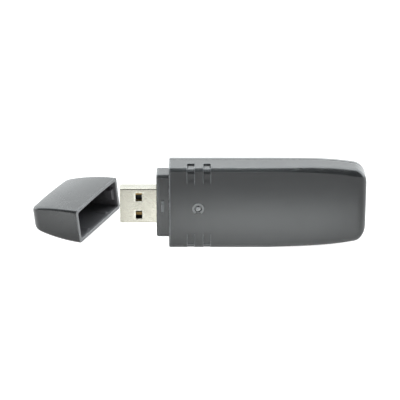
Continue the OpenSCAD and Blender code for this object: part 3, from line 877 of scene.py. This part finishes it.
def shellFeature(x, z, ref, side):
    # how far the skin stands out of its plain form
    out = 0.0
    if side < 0:
        t = abs(ref)
        low = bodyHalf - groove["onFront"]
        flat = bodyHalf - shell["bodyEdge"]
        high = flat + shell["bodyEdge"] * math.pi / 2 + groove["onSide"] - shell["bodyEdge"] - shell["crown"]
        for start in groove["starts"]:
            begin = bodyStart + start
            inside = min(x - begin, begin + groove["width"] - x, high - t) - groove["soft"]
            deep = groove["faceDepth"] * ease((t - low) / groove["runOut"])
            edgeDepth = groove["depth"] if ref > 0 else groove["lowerDepth"]
            deep += (edgeDepth - groove["faceDepth"]) * ease((t - flat + groove["fade"]) / groove["fade"])
            out -= float(deep * stepIn(inside, groove["soft"]))
    else:
        inside = min(label["length"] / 2 - abs(x - labelX), label["width"] / 2 - abs(z))
        if abs(ref) < label["width"]:
            out -= label["depth"] * float(stepIn(inside, label["soft"]))
    ridgeX = (bodyStart - ridge["width"]) / 2
    if x < bodyStart and abs(z) < ridge["reach"]:
        lens = math.sqrt(ridge["disc"] ** 2 - z * z) - ridge["disc"] + ridge["rise"]
        inside = min(x - ridgeX, ridgeX + ridge["width"] - x) - ridge["soft"]
        out += max(0.0, lens) * float(stepIn(inside, ridge["soft"]))
    return out


def shellGrid(side, inset, detailed):
    rows, columns = shellRows(side, inset), shellColumns(side)
    grid = np.zeros((len(rows), len(columns), 3))
    for k, row in enumerate(rows):
        for j, (kind, at, ref) in enumerate(columns):
            q, z, nq, nz = sectionPoint(row, kind, at, ref, side)
            if detailed and row["pull"] == 1.0:
                out = shellFeature(row["x"], z, ref, side)
                q, z = q + nq * out, z + nz * out
            grid[k, j] = (row["x"], partingY + side * q * row["pull"], z)
    return grid


def lightPatch(outer, faces):
    # round recess, moulded open ring and bore in the front face, fitted into the square patch of the grid
    rows, cols = outer.shape[:2]
    middle = cols // 2
    patch = light["patch"]
    rowLow, rowHigh = (int(np.argmin(abs(outer[:, middle, 0] - lightX - s * patch))) for s in (-1, 1))
    colLow, colHigh = (int(np.argmin(abs(outer[rowLow, :, 2] - s * patch))) for s in (1, -1))
    hole = (rowLow, rowHigh, colLow, colHigh)
    loop = borderLoop(*hole, cols)
    flatOuter = outer.reshape(-1, 3)
    angles = [math.atan2(flatOuter[i][2], flatOuter[i][0] - lightX) for i in loop]
    rise, ring, recess, deep = light["rise"], light["ring"], light["recess"], light["recessDepth"]
    # (radius, height over the face) from the patch's edge in to the bore
    levels = [(2.7, 0), (2.2, 0), (ring + 0.05, 0), (ring, 0.35 * rise), (ring - 0.06, 0.85 * rise),
              (ring - 0.14, rise), ((ring + recess) / 2, 1.08 * rise), (recess + 0.12, rise),
              (recess + 0.05, 0.8 * rise), (recess, 0.2 * rise), (recess - 0.03, -0.12),
              (recess - 0.04, 0.1 - deep), (recess - 0.1, -deep),
              (light["bore"] + 0.06, -deep), (light["bore"], -deep - 0.05)]
    ringOuter, ringInner = 3, 9  # between these levels the ring stands out
    verts = []
    start = rows * cols * 2
    loops = [loop]

    fromDown = [abs((math.degrees(a) + 270) % 360 - 180) for a in angles]

    def ringLoop(radius, out, base):
        for a, down in zip(angles, fromDown):
            outside = down - light["gapAngle"] + light["gapSoft"] / 2
            up = out * float(ease(outside / light["gapSoft"])) if out > 0 else out
            x, z = lightX + radius * math.cos(a), radius * math.sin(a)
            y = base + shell["crown"] * (z / bodyHalf) ** 2 - up
            verts.append((x, y, z))
        first = start + len(verts) - len(angles)
        loops.append(list(range(first, first + len(angles))))

    for radius, out in levels:
        ringLoop(radius, out, shell["bodyFront"])
    innerFace = shell["bodyFront"] + shell["wall"]
    for radius in (light["bore"], light["behind"]):
        ringLoop(radius, 0, innerFace)
    loops.append([i + rows * cols for i in loop])
    # the ring's raised faces outside its gap take the lighter grey, the piece's second material
    ringGreyFaces = []
    for k, (a, b) in enumerate(zip(loops, loops[1:])):
        if ringOuter < k <= ringInner:
            ringGreyFaces += [len(faces) + i for i, down in enumerate(fromDown) if down > light["gapAngle"]]
        faces += loopFaces(a, b)
    return hole, verts, ringGreyFaces


def makeShell(name, side):
    outer = shellGrid(side, 0.0, True)
    inner = shellGrid(side, shell["wall"], False)
    rows, cols = outer.shape[:2]
    faces, extra, hole, ringGreyFaces = [], [], None, []
    if side < 0:
        hole, extra, ringGreyFaces = lightPatch(outer, faces)
    faces += sheetFaces(rows, cols, 0, side > 0, hole) + sheetFaces(rows, cols, rows * cols, side < 0, hole)
    border = borderLoop(0, rows - 1, 0, cols - 1, cols)
    faces += loopFaces(border, [i + rows * cols for i in border])
    skins = [outer.reshape(-1, 3), inner.reshape(-1, 3)] + ([np.array(extra)] if extra else [])
    return meshObject(name, np.concatenate(skins), faces, 35, ringGreyFaces)


plugLow, plugHigh = boxMm("usb_shell")
frontShell = makeShell("frontShell", -1)
slot = {"gap": 0.05, "from": -1, "past": 0.01}
slotTo = shell["wall"] + slot["past"]
cutBlock(frontShell, (slot["from"], plugLow[1] - slot["gap"], plugLow[2] - slot["gap"]),
         (slotTo, plugHigh[1] + slot["gap"], plugHigh[2] + slot["gap"]))
tidyMesh(frontShell)
rearShell = makeShell("rearShell", 1)

# the front shell's bosses take the rear shell's pins
post = {
    "radius": 1.7, "pin": 0.8, "bore": 0.85, "deep": 2.0, "fromStep": 7.2, "fromEnd": 11.5, "aside": 9.85,
    "bossEdge": 0.15, "pinEdge": 0.25, "pinSlope": 0.3, "endGap": 0.2,
}
boardLow, boardHigh = boxMm("circuit_board")
postPlaces = [(bodyStart + post["fromStep"], post["aside"]), (bodyStart + post["fromStep"], -post["aside"]),
              (frontHigh[0] - post["fromEnd"], 0)]


def turnedPiece(bm, x, z, profile):
    # a solid of revolution about a line along Y, from (radius, y) pairs
    segments = 32
    turn = [2 * math.pi * k / segments for k in range(segments)]
    loops = []
    for radius, y in profile:
        if radius == 0:
            loops.append([bm.verts.new((x * mm, y * mm, z * mm))])
            continue
        loops.append([bm.verts.new(((x + radius * math.cos(a)) * mm, y * mm, (z + radius * math.sin(a)) * mm))
                      for a in turn])
    for low, high in zip(loops, loops[1:]):
        for k in range(segments):
            ring = [(low, k), (low, k + 1), (high, k + 1), (high, k)]
            bm.faces.new(list(dict.fromkeys(loop[i % len(loop)] for loop, i in ring)))


def addTurned(obj, profiles):
    bm = bmesh.new()
    for x, z, profile in profiles:
        turnedPiece(bm, x, z, profile)
    bmesh.ops.recalc_face_normals(bm, faces=bm.faces)
    bm.from_mesh(obj.data)
    bm.to_mesh(obj.data)
    bm.free()
    shadeByAngle(obj)


bossRoot = shell["bodyFront"] + shell["wall"] / 2
postRoot = rearHigh[1] - shell["wall"] / 2
boss, pin = [], []
radius, bore, pinRadius = post["radius"], post["bore"], post["pin"]
boardFront, boardBack = boardLow[1], boardHigh[1]
bottom = boardFront - post["deep"]
tip = bottom + post["endGap"]
for x, z in postPlaces:
    root = max(bossRoot, partingY - frontDepthAt(x, shell["wall"] / 2))
    boss.append((x, z, [(0, root), (radius, root), (radius, boardFront - post["bossEdge"]),
                        (radius - post["bossEdge"], boardFront), (bore, boardFront), (bore, bottom),
                        (0, bottom)]))
    pin.append((x, z, [(0, postRoot), (radius, postRoot), (radius, boardBack), (pinRadius, boardBack),
                       (pinRadius, tip + post["pinSlope"]), (pinRadius - post["pinEdge"], tip), (0, tip)]))
addTurned(frontShell, boss)
addTurned(rearShell, pin)
for piece, plastic in ((frontShell, frontPlastic), (rearShell, rearPlastic)):
    piece.data.materials.append(plastic)
    piece.data.materials.append(ringPaint)
    markEdgeWearAndSheen(piece)

print("cap")
cap = {
    "length": 20.1, "wall": 1.45, "half": 13.95, "thick": 6.0, "crown": 0.3, "edge": 1.0,
    "fallT": 2.3, "curveT": 2.3, "fallW": 2.3, "curveW": 1.5, "endCorner": 4.1, "endRound": 2.5,
    "endBulge": 0.1, "roll": 5.2, "pitch": -3.7, "yaw": -26.4, "rimRound": 0.22, "rimFlare": 0.2,
    "ribLen": 3.0, "ribWidth": 3.6, "ribTo": 11.05, "guideWidth": 0.8, "guideAt": 6.275, "guideTo": 4.25,
    "guideLen": 12.06, "soft": 0.14, "mouthGap": 1,
}


def fromCapEnd(x, inset):
    return cap["length"] - cap["endBulge"] - inset + x


def capHalfAt(x, inset):
    fall = cap["fallW"] * (max(0.0, -x) / cap["length"]) ** cap["curveW"]
    return cap["half"] - inset - fall - roundIn(fromCapEnd(x, inset), cap["endCorner"] - inset)


def capThickAt(x, inset):
    fall = cap["fallT"] * (max(0.0, -x) / cap["length"]) ** cap["curveT"]
    return cap["thick"] - inset - fall - roundIn(fromCapEnd(x, inset), cap["endRound"])


def capSection(x, inset, pull=1.0, drawn=0.0):
    edge = max(0.4, cap["edge"] - inset / 3)
    return {"x": x, "thick": capThickAt(x, inset) - drawn, "half": capHalfAt(x, inset) - drawn, "r": edge,
            "pull": pull}


def capSkin(inset, stations):
    # sections from the closed end to the mouth
    end = cap["endBulge"] + inset - cap["length"]
    corner = cap["endCorner"]
    rows = [{**capSection(end, inset), "x": end - cap["endBulge"] * b, "pull": p}
            for p, b in ((0.0, 1.0), (0.35, 0.9), (0.7, 0.6))]
    for k in range(17):
        rows.append(capSection(end + corner * (1 - math.cos(math.pi / 2 * k / 16)), inset))
    rows += [capSection(x, inset) for x in tidyLines([v for v in stations if v > end + corner + 0.1])]
    return rows


def capColumns():
    # a closed ring of columns: broad faces, corners and narrow sides
    broad = tidyLines(spread(0, 1, 14) + [v / 12.95 for v in around(cap["guideAt"] - 0.4, cap["soft"])
                                            + around(cap["guideAt"] + 0.4, cap["soft"])], 0.004)
    narrow = tidyLines(spread(0, 1, 8) + [v / 5.0 for v in around(cap["ribWidth"] / 2, cap["soft"])], 0.004)
    broad = [-v for v in broad[:0:-1]] + list(broad)
    narrow = [-v for v in narrow[:0:-1]] + list(narrow)
    arcs = [math.pi / 2 * k / 8 for k in range(1, 8)]
    ring = [("broad", -1, f) for f in broad] + [("arc", 0, a) for a in arcs]
    ring += [("narrow", 1, g) for g in narrow] + [("arc", 1, a) for a in arcs]
    ring += [("broad", 1, -f) for f in broad] + [("arc", 2, a) for a in arcs]
    ring += [("narrow", -1, -g) for g in narrow] + [("arc", 3, a) for a in arcs]
    return ring


def capPoint(row, column):
    kind, which, at = column
    thick, half, r = row["thick"], row["half"], row["r"]
    if kind == "broad":
        y, z, ny, nz = which * thick, at * (half - r), which, 0
    elif kind == "narrow":
        y, z, ny, nz = at * (thick - r), which * half, 0, which
    else:
        sy, sz = ((-1, 1), (1, 1), (1, -1), (-1, -1))[which]
        a = at if which % 2 else math.pi / 2 - at
        ny, nz = sy * math.sin(a), sz * math.cos(a)
        y, z = sy * (thick - r) + r * ny, sz * (half - r) + r * nz
    if y < 0:
        y += cap["crown"] * (z / max(half, 1e-6)) ** 2 * min(1.0, -y / max(0.5, thick - r))
    return row["x"], y * row["pull"], z, ny, nz


def capInside(x, y, z, ny, nz):
    # ribs and guides stand inwards from the cap's inner walls, and begin a little inside the mouth
    begin = -cap["mouthGap"]
    if nz and not ny:
        inside = min(begin - x, x - begin + cap["ribLen"], cap["ribWidth"] / 2 - abs(y))
        z -= math.copysign(max(0.0, abs(z) - cap["ribTo"]), z) * float(stepIn(inside, cap["soft"]))
    if ny and not nz:
        aside = abs(abs(z) - cap["guideAt"])
        inside = min(begin - x, x - begin + cap["guideLen"], cap["guideWidth"] / 2 - aside)
        y -= math.copysign(max(0.0, abs(y) - cap["guideTo"]), y) * float(stepIn(inside, cap["soft"]))
    return x, y, z


def makeCap():
    begin = -cap["mouthGap"]
    stations = spread(-15, -0.6, 20)
    for length in (0, cap["ribLen"], cap["guideLen"]):
        stations += around(begin - length, cap["soft"])
    outerRows = capSkin(0.0, spread(-15, -0.8, 22))
    innerRows = capSkin(cap["wall"], stations)
    rim, flare = cap["rimRound"], cap["rimFlare"]
    turn = [math.pi / 2 * k / 4 for k in range(5)]
    outerRows += [capSection(-rim * (1 - math.sin(a)), 0.0, 1.0, rim * (1 - math.cos(a))) for a in turn]
    mouthIn = cap["wall"] - flare
    innerRows += [capSection(-rim * 1.8, cap["wall"] - flare * 0.5)]
    innerRows += [capSection(-rim * (1 - math.sin(a)), mouthIn, 1.0, -rim * (1 - math.cos(a))) for a in turn]
    columns = capColumns()
    points = [capPoint(row, c)[:3] for row in outerRows for c in columns]
    for row in reversed(innerRows):
        points += [capInside(*capPoint(row, c)) for c in columns]
    count, rows = len(columns), len(outerRows) + len(innerRows)
    faces = []
    for k in range(rows - 1):
        first = list(range(k * count, (k + 1) * count))
        faces += loopFaces(first, [i + count for i in first])
    # the inner walls take the second material, whose lighter grey is painted glare
    inside = range((len(outerRows) + 4) * count, len(faces))
    piece = meshObject("capCover", points, faces, 35, inside)
    # the rim round the mouth takes the third material, whose lighter grey is painted highlight
    for i in range((len(outerRows) - 4) * count, (len(outerRows) + 3) * count):
        piece.data.polygons[i].material_index = 2
    lie = Euler([math.radians(cap[a]) for a in ("roll", "pitch", "yaw")]).to_matrix().to_4x4()
    piece.data.transform(lie @ Matrix.Rotation(-math.pi / 2, 4, "X"))
    low = np.min([v.co for v in piece.data.vertices], axis=0)
    high = np.max([v.co for v in piece.data.vertices], axis=0)
    capLow, capHigh = (np.array(c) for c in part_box("cap"))
    piece.data.transform(Matrix.Translation(Vector((capLow + capHigh - low - high) / 2)))
    return piece


capCover = makeCap()
for plastic in (capPlastic, innerPlastic, rimPlastic):
    capCover.data.materials.append(plastic)
markEdgeWearAndSheen(capCover)

print("plug")
plug = {
    "sheet": 0.3, "corner": 0.38, "window": (2.1, 2.7), "windowFromTip": 6.2, "windowRim": 0.12,
    "pitch": 6.15, "nose": 0.15, "noseLength": 0.8, "edge": 0.05,
}


def addBevel(piece, width, segments, angle):
    soft = piece.modifiers.new("soft", "BEVEL")
    soft.width = width * mm
    soft.segments = segments
    soft.limit_method = "ANGLE"
    soft.angle_limit = math.radians(angle)


def makePlug():
    # a folded sheet-steel tube with four latch windows and a drawn-in nose
    halfY, halfZ, r = (plugHigh[1] - plugLow[1]) / 2, (plugHigh[2] - plugLow[2]) / 2, plug["corner"]
    windowX = plugLow[0] + plug["windowFromTip"]
    wl, ww = plug["window"]
    lines = [0, 0.08, 0.2, 0.4, 0.8] + spread(1.2, plugHigh[0] - plugLow[0], 20)
    flat = spread(0, halfZ - r, 9)
    for s in (-1, 1):
        for rim in (0, plug["windowRim"]):
            lines.append(plug["windowFromTip"] + s * (wl / 2 - rim))
            flat.append(plug["pitch"] / 2 + s * (ww / 2 - rim))
    stations = tidyLines(lines, 0.05) + plugLow[0]
    flat = tidyLines(flat, 0.05)
    broad = [-v for v in flat[:0:-1]] + list(flat)
    narrow = spread(r - halfY, halfY - r, 7)
    arcs = [math.pi / 2 * k / 6 for k in range(1, 6)]
    ring = [(-halfY, z, "broad") for z in broad]
    ring += [(-halfY + r - r * math.cos(a), halfZ - r + r * math.sin(a), "arc") for a in arcs]
    ring += [(y, halfZ, "narrow") for y in narrow]
    ring += [(halfY - r + r * math.sin(a), halfZ - r + r * math.cos(a), "arc") for a in arcs]
    ring += [(halfY, z, "broad") for z in reversed(broad)]
    ring += [(halfY - r + r * math.cos(a), r - halfZ - r * math.sin(a), "arc") for a in arcs]
    ring += [(y, -halfZ, "narrow") for y in reversed(narrow)]
    ring += [(r - halfY - r * math.sin(a), r - halfZ - r * math.cos(a), "arc") for a in arcs]
    centreY = (plugHigh[1] + plugLow[1]) / 2
    verts = []
    for x in stations:
        drawn = plug["nose"] * (1 - float(ease((x - plugLow[0]) / plug["noseLength"])))
        for y, z, _ in ring:
            verts.append((x, centreY + y * (1 - drawn / halfY), z * (1 - drawn / halfZ)))
    count = len(ring)
    faces = []
    for k in range(len(stations) - 1):
        middleX = (stations[k] + stations[k + 1]) / 2
        for j in range(count):
            nextJ = (j + 1) % count
            middleZ = (ring[j][1] + ring[nextJ][1]) / 2
            onFace = ring[j][2] == "broad" and ring[nextJ][2] == "broad" and ring[j][0] * ring[nextJ][0] > 0
            inWindow = abs(middleX - windowX) < wl / 2 and abs(abs(middleZ) - plug["pitch"] / 2) < ww / 2
            if not (onFace and inWindow):
                a, b = k * count + j, k * count + nextJ
                faces.append((a, b, b + count, a + count))
    piece = meshObject("plugShell", verts, faces)
    bm = bmesh.new()
    bm.from_mesh(piece.data)
    middle = Vector((0, centreY * mm, 0))
    sideFaces = [f for f in bm.faces if abs(f.normal.x) < 0.2]
    if sum(f.normal.dot(f.calc_center_median() - middle) for f in sideFaces) < 0:
        bmesh.ops.reverse_faces(bm, faces=bm.faces)
    bm.to_mesh(piece.data)
    bm.free()
    wall = piece.modifiers.new("sheet", "SOLIDIFY")
    wall.thickness = plug["sheet"] * mm
    wall.offset = -1
    wall.use_even_offset = True
    addBevel(piece, plug["edge"], 2, 50)
    baked(piece)
    shadeByAngle(piece, 40)
    return piece


plugShell = makePlug()
plugShell.data.materials.append(plugSteel)
markEdgeWearAndSheen(plugShell, 0.25)

print("contacts and board parts")


def solidBoxes(node):
    # (middle, size) in millimetres of every separate solid in a CAD node
    bm = bmesh.new()
    bm.from_mesh(nodes[node].data)
    bmesh.ops.remove_doubles(bm, verts=bm.verts, dist=1e-6)
    left = set(bm.verts)
    boxes = []
    while left:
        waiting = [left.pop()]
        island = list(waiting)
        while waiting:
            for e in waiting.pop().link_edges:
                for v in e.verts:
                    if v in left:
                        left.remove(v)
                        waiting.append(v)
                        island.append(v)
        place = np.array([v.co for v in island]) / mm
        low, high = place.min(0), place.max(0)
        boxes.append(((low + high) / 2, high - low))
    bm.free()
    return sorted(boxes, key=lambda box: (round(box[0][0], 2), round(box[0][2], 2)))


def placingTree():
    # one copy of a piece at every point of the host, turned about Y by the point's own turn
    tree = bpy.data.node_groups.new("placedParts", "GeometryNodeTree")
    sockets = {
        "Points": "Geometry", "Part": "Object", "Slack angle": "Float", "Seed": "Int", "Finish": "Material",
    }
    for title, kind in sockets.items():
        tree.interface.new_socket(title, in_out="INPUT", socket_type="NodeSocket" + kind)
    tree.interface.new_socket("Parts", in_out="OUTPUT", socket_type="NodeSocketGeometry")
    inp, out = tree.nodes.new("NodeGroupInput").outputs, tree.nodes.new("NodeGroupOutput")
    part = addNode(tree, "GeometryNodeObjectInfo")
    turn = addNode(tree, "GeometryNodeInputNamedAttribute", data_type="FLOAT")
    turn.inputs["Name"].default_value = "turn"
    slack = addNode(tree, "FunctionNodeRandomValue", data_type="FLOAT")
    angles = addNode(tree, "ShaderNodeCombineXYZ")
    toRotation = addNode(tree, "FunctionNodeEulerToRotation")
    placed = addNode(tree, "GeometryNodeInstanceOnPoints")
    real = addNode(tree, "GeometryNodeRealizeInstances")
    finish = addNode(tree, "GeometryNodeSetMaterial")
    for source, socket in (
        (inp["Part"], part.inputs["Object"]),
        (inp["Seed"], slack.inputs["Seed"]),
        (inp["Slack angle"], slack.inputs[3]),
        (sumNode(tree, "MULTIPLY", inp["Slack angle"], -1.0), slack.inputs[2]),
        (sumNode(tree, "ADD", turn.outputs[0], slack.outputs[1]), angles.inputs["Y"]),
        (angles.outputs[0], toRotation.inputs[0]),
        (inp["Points"], placed.inputs["Points"]),
        (part.outputs["Geometry"], placed.inputs["Instance"]),
        (toRotation.outputs[0], placed.inputs["Rotation"]),
        (placed.outputs[0], real.inputs[0]),
        (real.outputs[0], finish.inputs["Geometry"]),
        (inp["Finish"], finish.inputs["Material"]),
        (finish.outputs[0], out.inputs["Parts"]),
    ):
        tree.links.new(source, socket)
    return tree


placedParts = placingTree()


def placeParts(name, part, boxes, material, slackAngle, seed):
    # boxes give the places; a box that is longer along X than along Z takes a quarter turn
    mesh = bpy.data.meshes.new(name)
    mesh.from_pydata([tuple(middle * mm) for middle, size in boxes], [], [])
    turn = mesh.attributes.new("turn", "FLOAT", "POINT")
    for i, (middle, size) in enumerate(boxes):
        turn.data[i].value = math.pi / 2 if size[0] > size[2] else 0.0
    host = bpy.data.objects.new(name, mesh)
    scene.collection.objects.link(host)
    modifier = host.modifiers.new("placedParts", "NODES")
    modifier.node_group = placedParts
    values = {"Part": part, "Slack angle": slackAngle, "Seed": seed, "Finish": material}
    for socket in placedParts.interface.items_tree:
        if socket.in_out == "INPUT" and socket.name in values:
            modifier[socket.identifier] = values[socket.name]
    baked(host)
    host.data.set_sharp_from_angle(angle=math.radians(40))
    bpy.data.objects.remove(part)
    return host


def joinInto(first, second):
    bm = bmesh.new()
    bm.from_mesh(first.data)
    bm.from_mesh(second.data)
    bm.to_mesh(first.data)
    bm.free()
    bpy.data.objects.remove(second)


chip = {"tinLength": 0.24, "bodyInset": 0.03, "edge": 0.05}


def chipPart(name, size):
    # a leadless block, long along Z: a ceramic body between two tinned caps that stand slightly proud
    bm = bmesh.new()
    half = np.array(size) / 2
    ends = bm.verts.layers.float.new("ends")
    tin, inset = chip["tinLength"], chip["bodyInset"]
    roundedBlock(bm, (inset - half[0], inset - half[1], tin * 0.6 - half[2]),
                 (half[0] - inset, half[1] - inset, half[2] - tin * 0.6), chip["edge"] / 2, 1)
    bodyCount = len(bm.verts)
    for side in (-1, 1):
        zs = sorted((side * half[2], side * (half[2] - tin)))
        roundedBlock(bm, (-half[0], -half[1], zs[0]), (half[0], half[1], zs[1]), chip["edge"], 3)
    bm.verts.ensure_lookup_table()
    for v in bm.verts[bodyCount:]:
        v[ends] = 1.0
    mesh = bpy.data.meshes.new(name)
    bm.to_mesh(mesh)
    bm.free()
    part = bpy.data.objects.new(name, mesh)
    scene.collection.objects.link(part)
    shadeByAngle(part, 40)
    return part


contact = {
    "tipLength": 0.9, "tipHalf": 0.32, "tipDrop": 0.07, "tailLength": 1.6, "tailHalf": 0.33, "tailSlope": 0.3,
    "edge": 0.04, "crownFrom": 3.2, "crownLength": 2.6, "crownWidth": 0.26,
}


def contactPart(name, size):
    # a stamped spring strip: narrowed tip that dips, coined edges, a pressed crown line and a narrower tail
    halfX, halfY, halfZ = np.array(size) / 2
    crownFrom = contact["crownFrom"]
    lines = spread(0, contact["tipLength"], 7) + spread(crownFrom, crownFrom + contact["crownLength"], 9)
    tailFrom, slope = 2 * halfX - contact["tailLength"], contact["tailSlope"]
    lines += [tailFrom - slope, tailFrom, 2 * halfX]
    stations = tidyLines(lines + spread(contact["tipLength"], 2 * halfX, 16), 0.04)
    across = [-1, -0.94, -0.55, -contact["crownWidth"], 0, contact["crownWidth"], 0.55, 0.94, 1]
    verts = []
    for d in stations:
        width = contact["tipHalf"] + (halfZ - contact["tipHalf"]) * float(ease(d / contact["tipLength"]))
        tail = float(ease((d - tailFrom + slope) / slope))
        width += (contact["tailHalf"] - width) * tail
        drop = contact["tipDrop"] * (1 - float(ease(d / contact["tipLength"]))) ** 2
        along = (d - crownFrom) / contact["crownLength"]
        pressed = contact["edge"] * float(ease(2 - abs(4 * along - 2))) if 0 < along < 1 else 0.0
        top, bottom = [], []
        for a in across:
            coined = contact["edge"] * (1 if abs(a) == 1 else 0.35 if abs(a) > 0.9 else 0)
            sink = pressed if abs(a) < 0.3 else 0
            top.append((d - halfX, -halfY + coined + sink + drop, a * width))
            bottom.append((d - halfX, halfY - coined, a * width))
        verts += top + bottom[::-1]
    count = 2 * len(across)
    faces = [tuple(range(count)), tuple(range(len(verts) - 1, len(verts) - count - 1, -1))]
    for k in range(len(stations) - 1):
        first = list(range(k * count, (k + 1) * count))
        faces += loopFaces(first, [i + count for i in first])
    return meshObject(name, verts, faces, 30)


def builtParts(name, node, makePart, material, slackAngle, seed):
    # the boxes of one size share a part
    boxes = solidBoxes(node)
    sizes = sorted({tuple(sorted((round(float(size[0]), 2), round(float(size[2]), 2)))) for _, size in boxes})
    made = None
    for short, longSide in sizes:
        mine = [box for box in boxes if abs(max(box[1][0], box[1][2]) - longSide) < 0.02]
        thick = float(mine[0][1][1])
        size = (short, thick, longSide)
        if makePart is contactPart:  # it is made along X, as its boxes lie, so they ask for no turn
            size = size[::-1]
            mine = [(middle, box[::-1]) for middle, box in mine]
        parts = placeParts(name, makePart(name + "Part", size), mine, material, slackAngle, seed)
        if made:
            joinInto(made, parts)
        else:
            made = parts
    return made


contactStrips = builtParts("contactStrips", "usb_contacts", contactPart, contactGold, 0.0, 3)
capacitorBlocks = builtParts("capacitorBlocks", "capacitors", chipPart, tanCeramic, 0.02, 11)
resistorChips = builtParts("resistorChips", "resistors", chipPart, blackFilm, 0.025, 17)
markEdgeWearAndSheen(contactStrips, 0.2)

print("insulator, light pipe and label")


def bevelled(piece, width, segments):
    addBevel(piece, width, segments, 40)
    baked(piece)
    shadeByAngle(piece, 30)
    return piece


def makeLabel():
    # thin film with round corners, its rim pressed down a touch
    low, high = labelLow, labelHigh
    r, tiny = label["corner"], 0.02
    # inset, and depth as a share of the film's thickness
    rings = [(0.0, 1.0), (0.0, 0.35), (0.06, 0.0), (0.9, 0.0), (3.5, 0.0)]
    verts, faces, count = [], [], 0
    for inset, deep in rings:
        turn = []
        for quarter, (sx, sz) in enumerate(((1, 1), (-1, 1), (-1, -1), (1, -1))):
            cx = (low[0] + high[0]) / 2 + sx * ((high[0] - low[0]) / 2 - r)
            cz = (low[2] + high[2]) / 2 + sz * ((high[2] - low[2]) / 2 - r)
            for k in range(9):
                a = math.pi / 2 * (quarter + k / 8)
                turned = max(r - inset, tiny)
                slide = max(0.0, inset - r + tiny)
                turn.append((cx - sx * slide + turned * math.cos(a), high[1] - deep * (high[1] - low[1]),
                             cz - sz * slide + turned * math.sin(a)))
        count = len(turn)
        verts += turn
    for k in range(len(rings) - 1):
        first = list(range(k * count, (k + 1) * count))
        faces += loopFaces(first, [i + count for i in first])
    faces.append(tuple(range((len(rings) - 1) * count, len(rings) * count)))
    faces.append(tuple(range(count - 1, -1, -1)))
    return meshObject("labelPiece", verts, faces, 30)


labelPiece = makeLabel()
labelPiece.data.materials.append(labelWhite)
markEdgeWearAndSheen(labelPiece, 0.4)


def copyOfNode(name, node):
    # a merged copy of a CAD node, to be finished with softer edges
    piece = bpy.data.objects.new(name, nodes[node].data.copy())
    piece.data.materials.clear()
    scene.collection.objects.link(piece)
    tidyMesh(piece)
    return piece


insulatorTongue = bevelled(copyOfNode("insulatorTongue", "usb_insulator"), 0.14, 2)
insulatorTongue.data.materials.append(insulatorPlastic)
markEdgeWearAndSheen(insulatorTongue, 0.3)
lensPipe = bevelled(copyOfNode("lensPipe", "light_pipe"), 0.1, 3)
lensPipe.data.materials.append(pipeFrost)

for node, material in {
    "circuit_board": boardGreen, "shield_frame": shieldSteel, "shield_lid": shieldSteel,
    "thermal_pad": padGrey,
    "wifi_chip": chipResin, "radio_amplifiers": chipResin, "crystal": shieldSteel, "memory_chip": chipResin,
    "voltage_regulator": chipResin, "power_inductor": chipResin, "status_led": ledCream,
    "upper_antenna": trackCopper, "lower_antenna": trackCopper, "test_sockets": contactGold,
}.items():
    slots = nodes[node].data.materials
    if not len(slots):
        slots.append(material)
    for i in range(len(slots)):
        slots[i] = material

for piece, node, body, finish in (
    (frontShell, "front_shell", "adapter", "shell_front"), (rearShell, "rear_shell", "adapter", "shell_rear"),
    (capCover, "cap", "cap_body", "cap_plastic"), (plugShell, "usb_shell", "adapter", "plug_steel"),
    (contactStrips, "usb_contacts", "adapter", "contact_gold"),
    (capacitorBlocks, "capacitors", "adapter", "ceramic_tan"),
    (resistorChips, "resistors", "adapter", "resistor_black"),
    (insulatorTongue, "usb_insulator", "adapter", "insulator"),
    (lensPipe, "light_pipe", "adapter", "clear_pipe"), (labelPiece, "rating_label", "adapter", "label"),
):
    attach(piece, body)
    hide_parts(node)
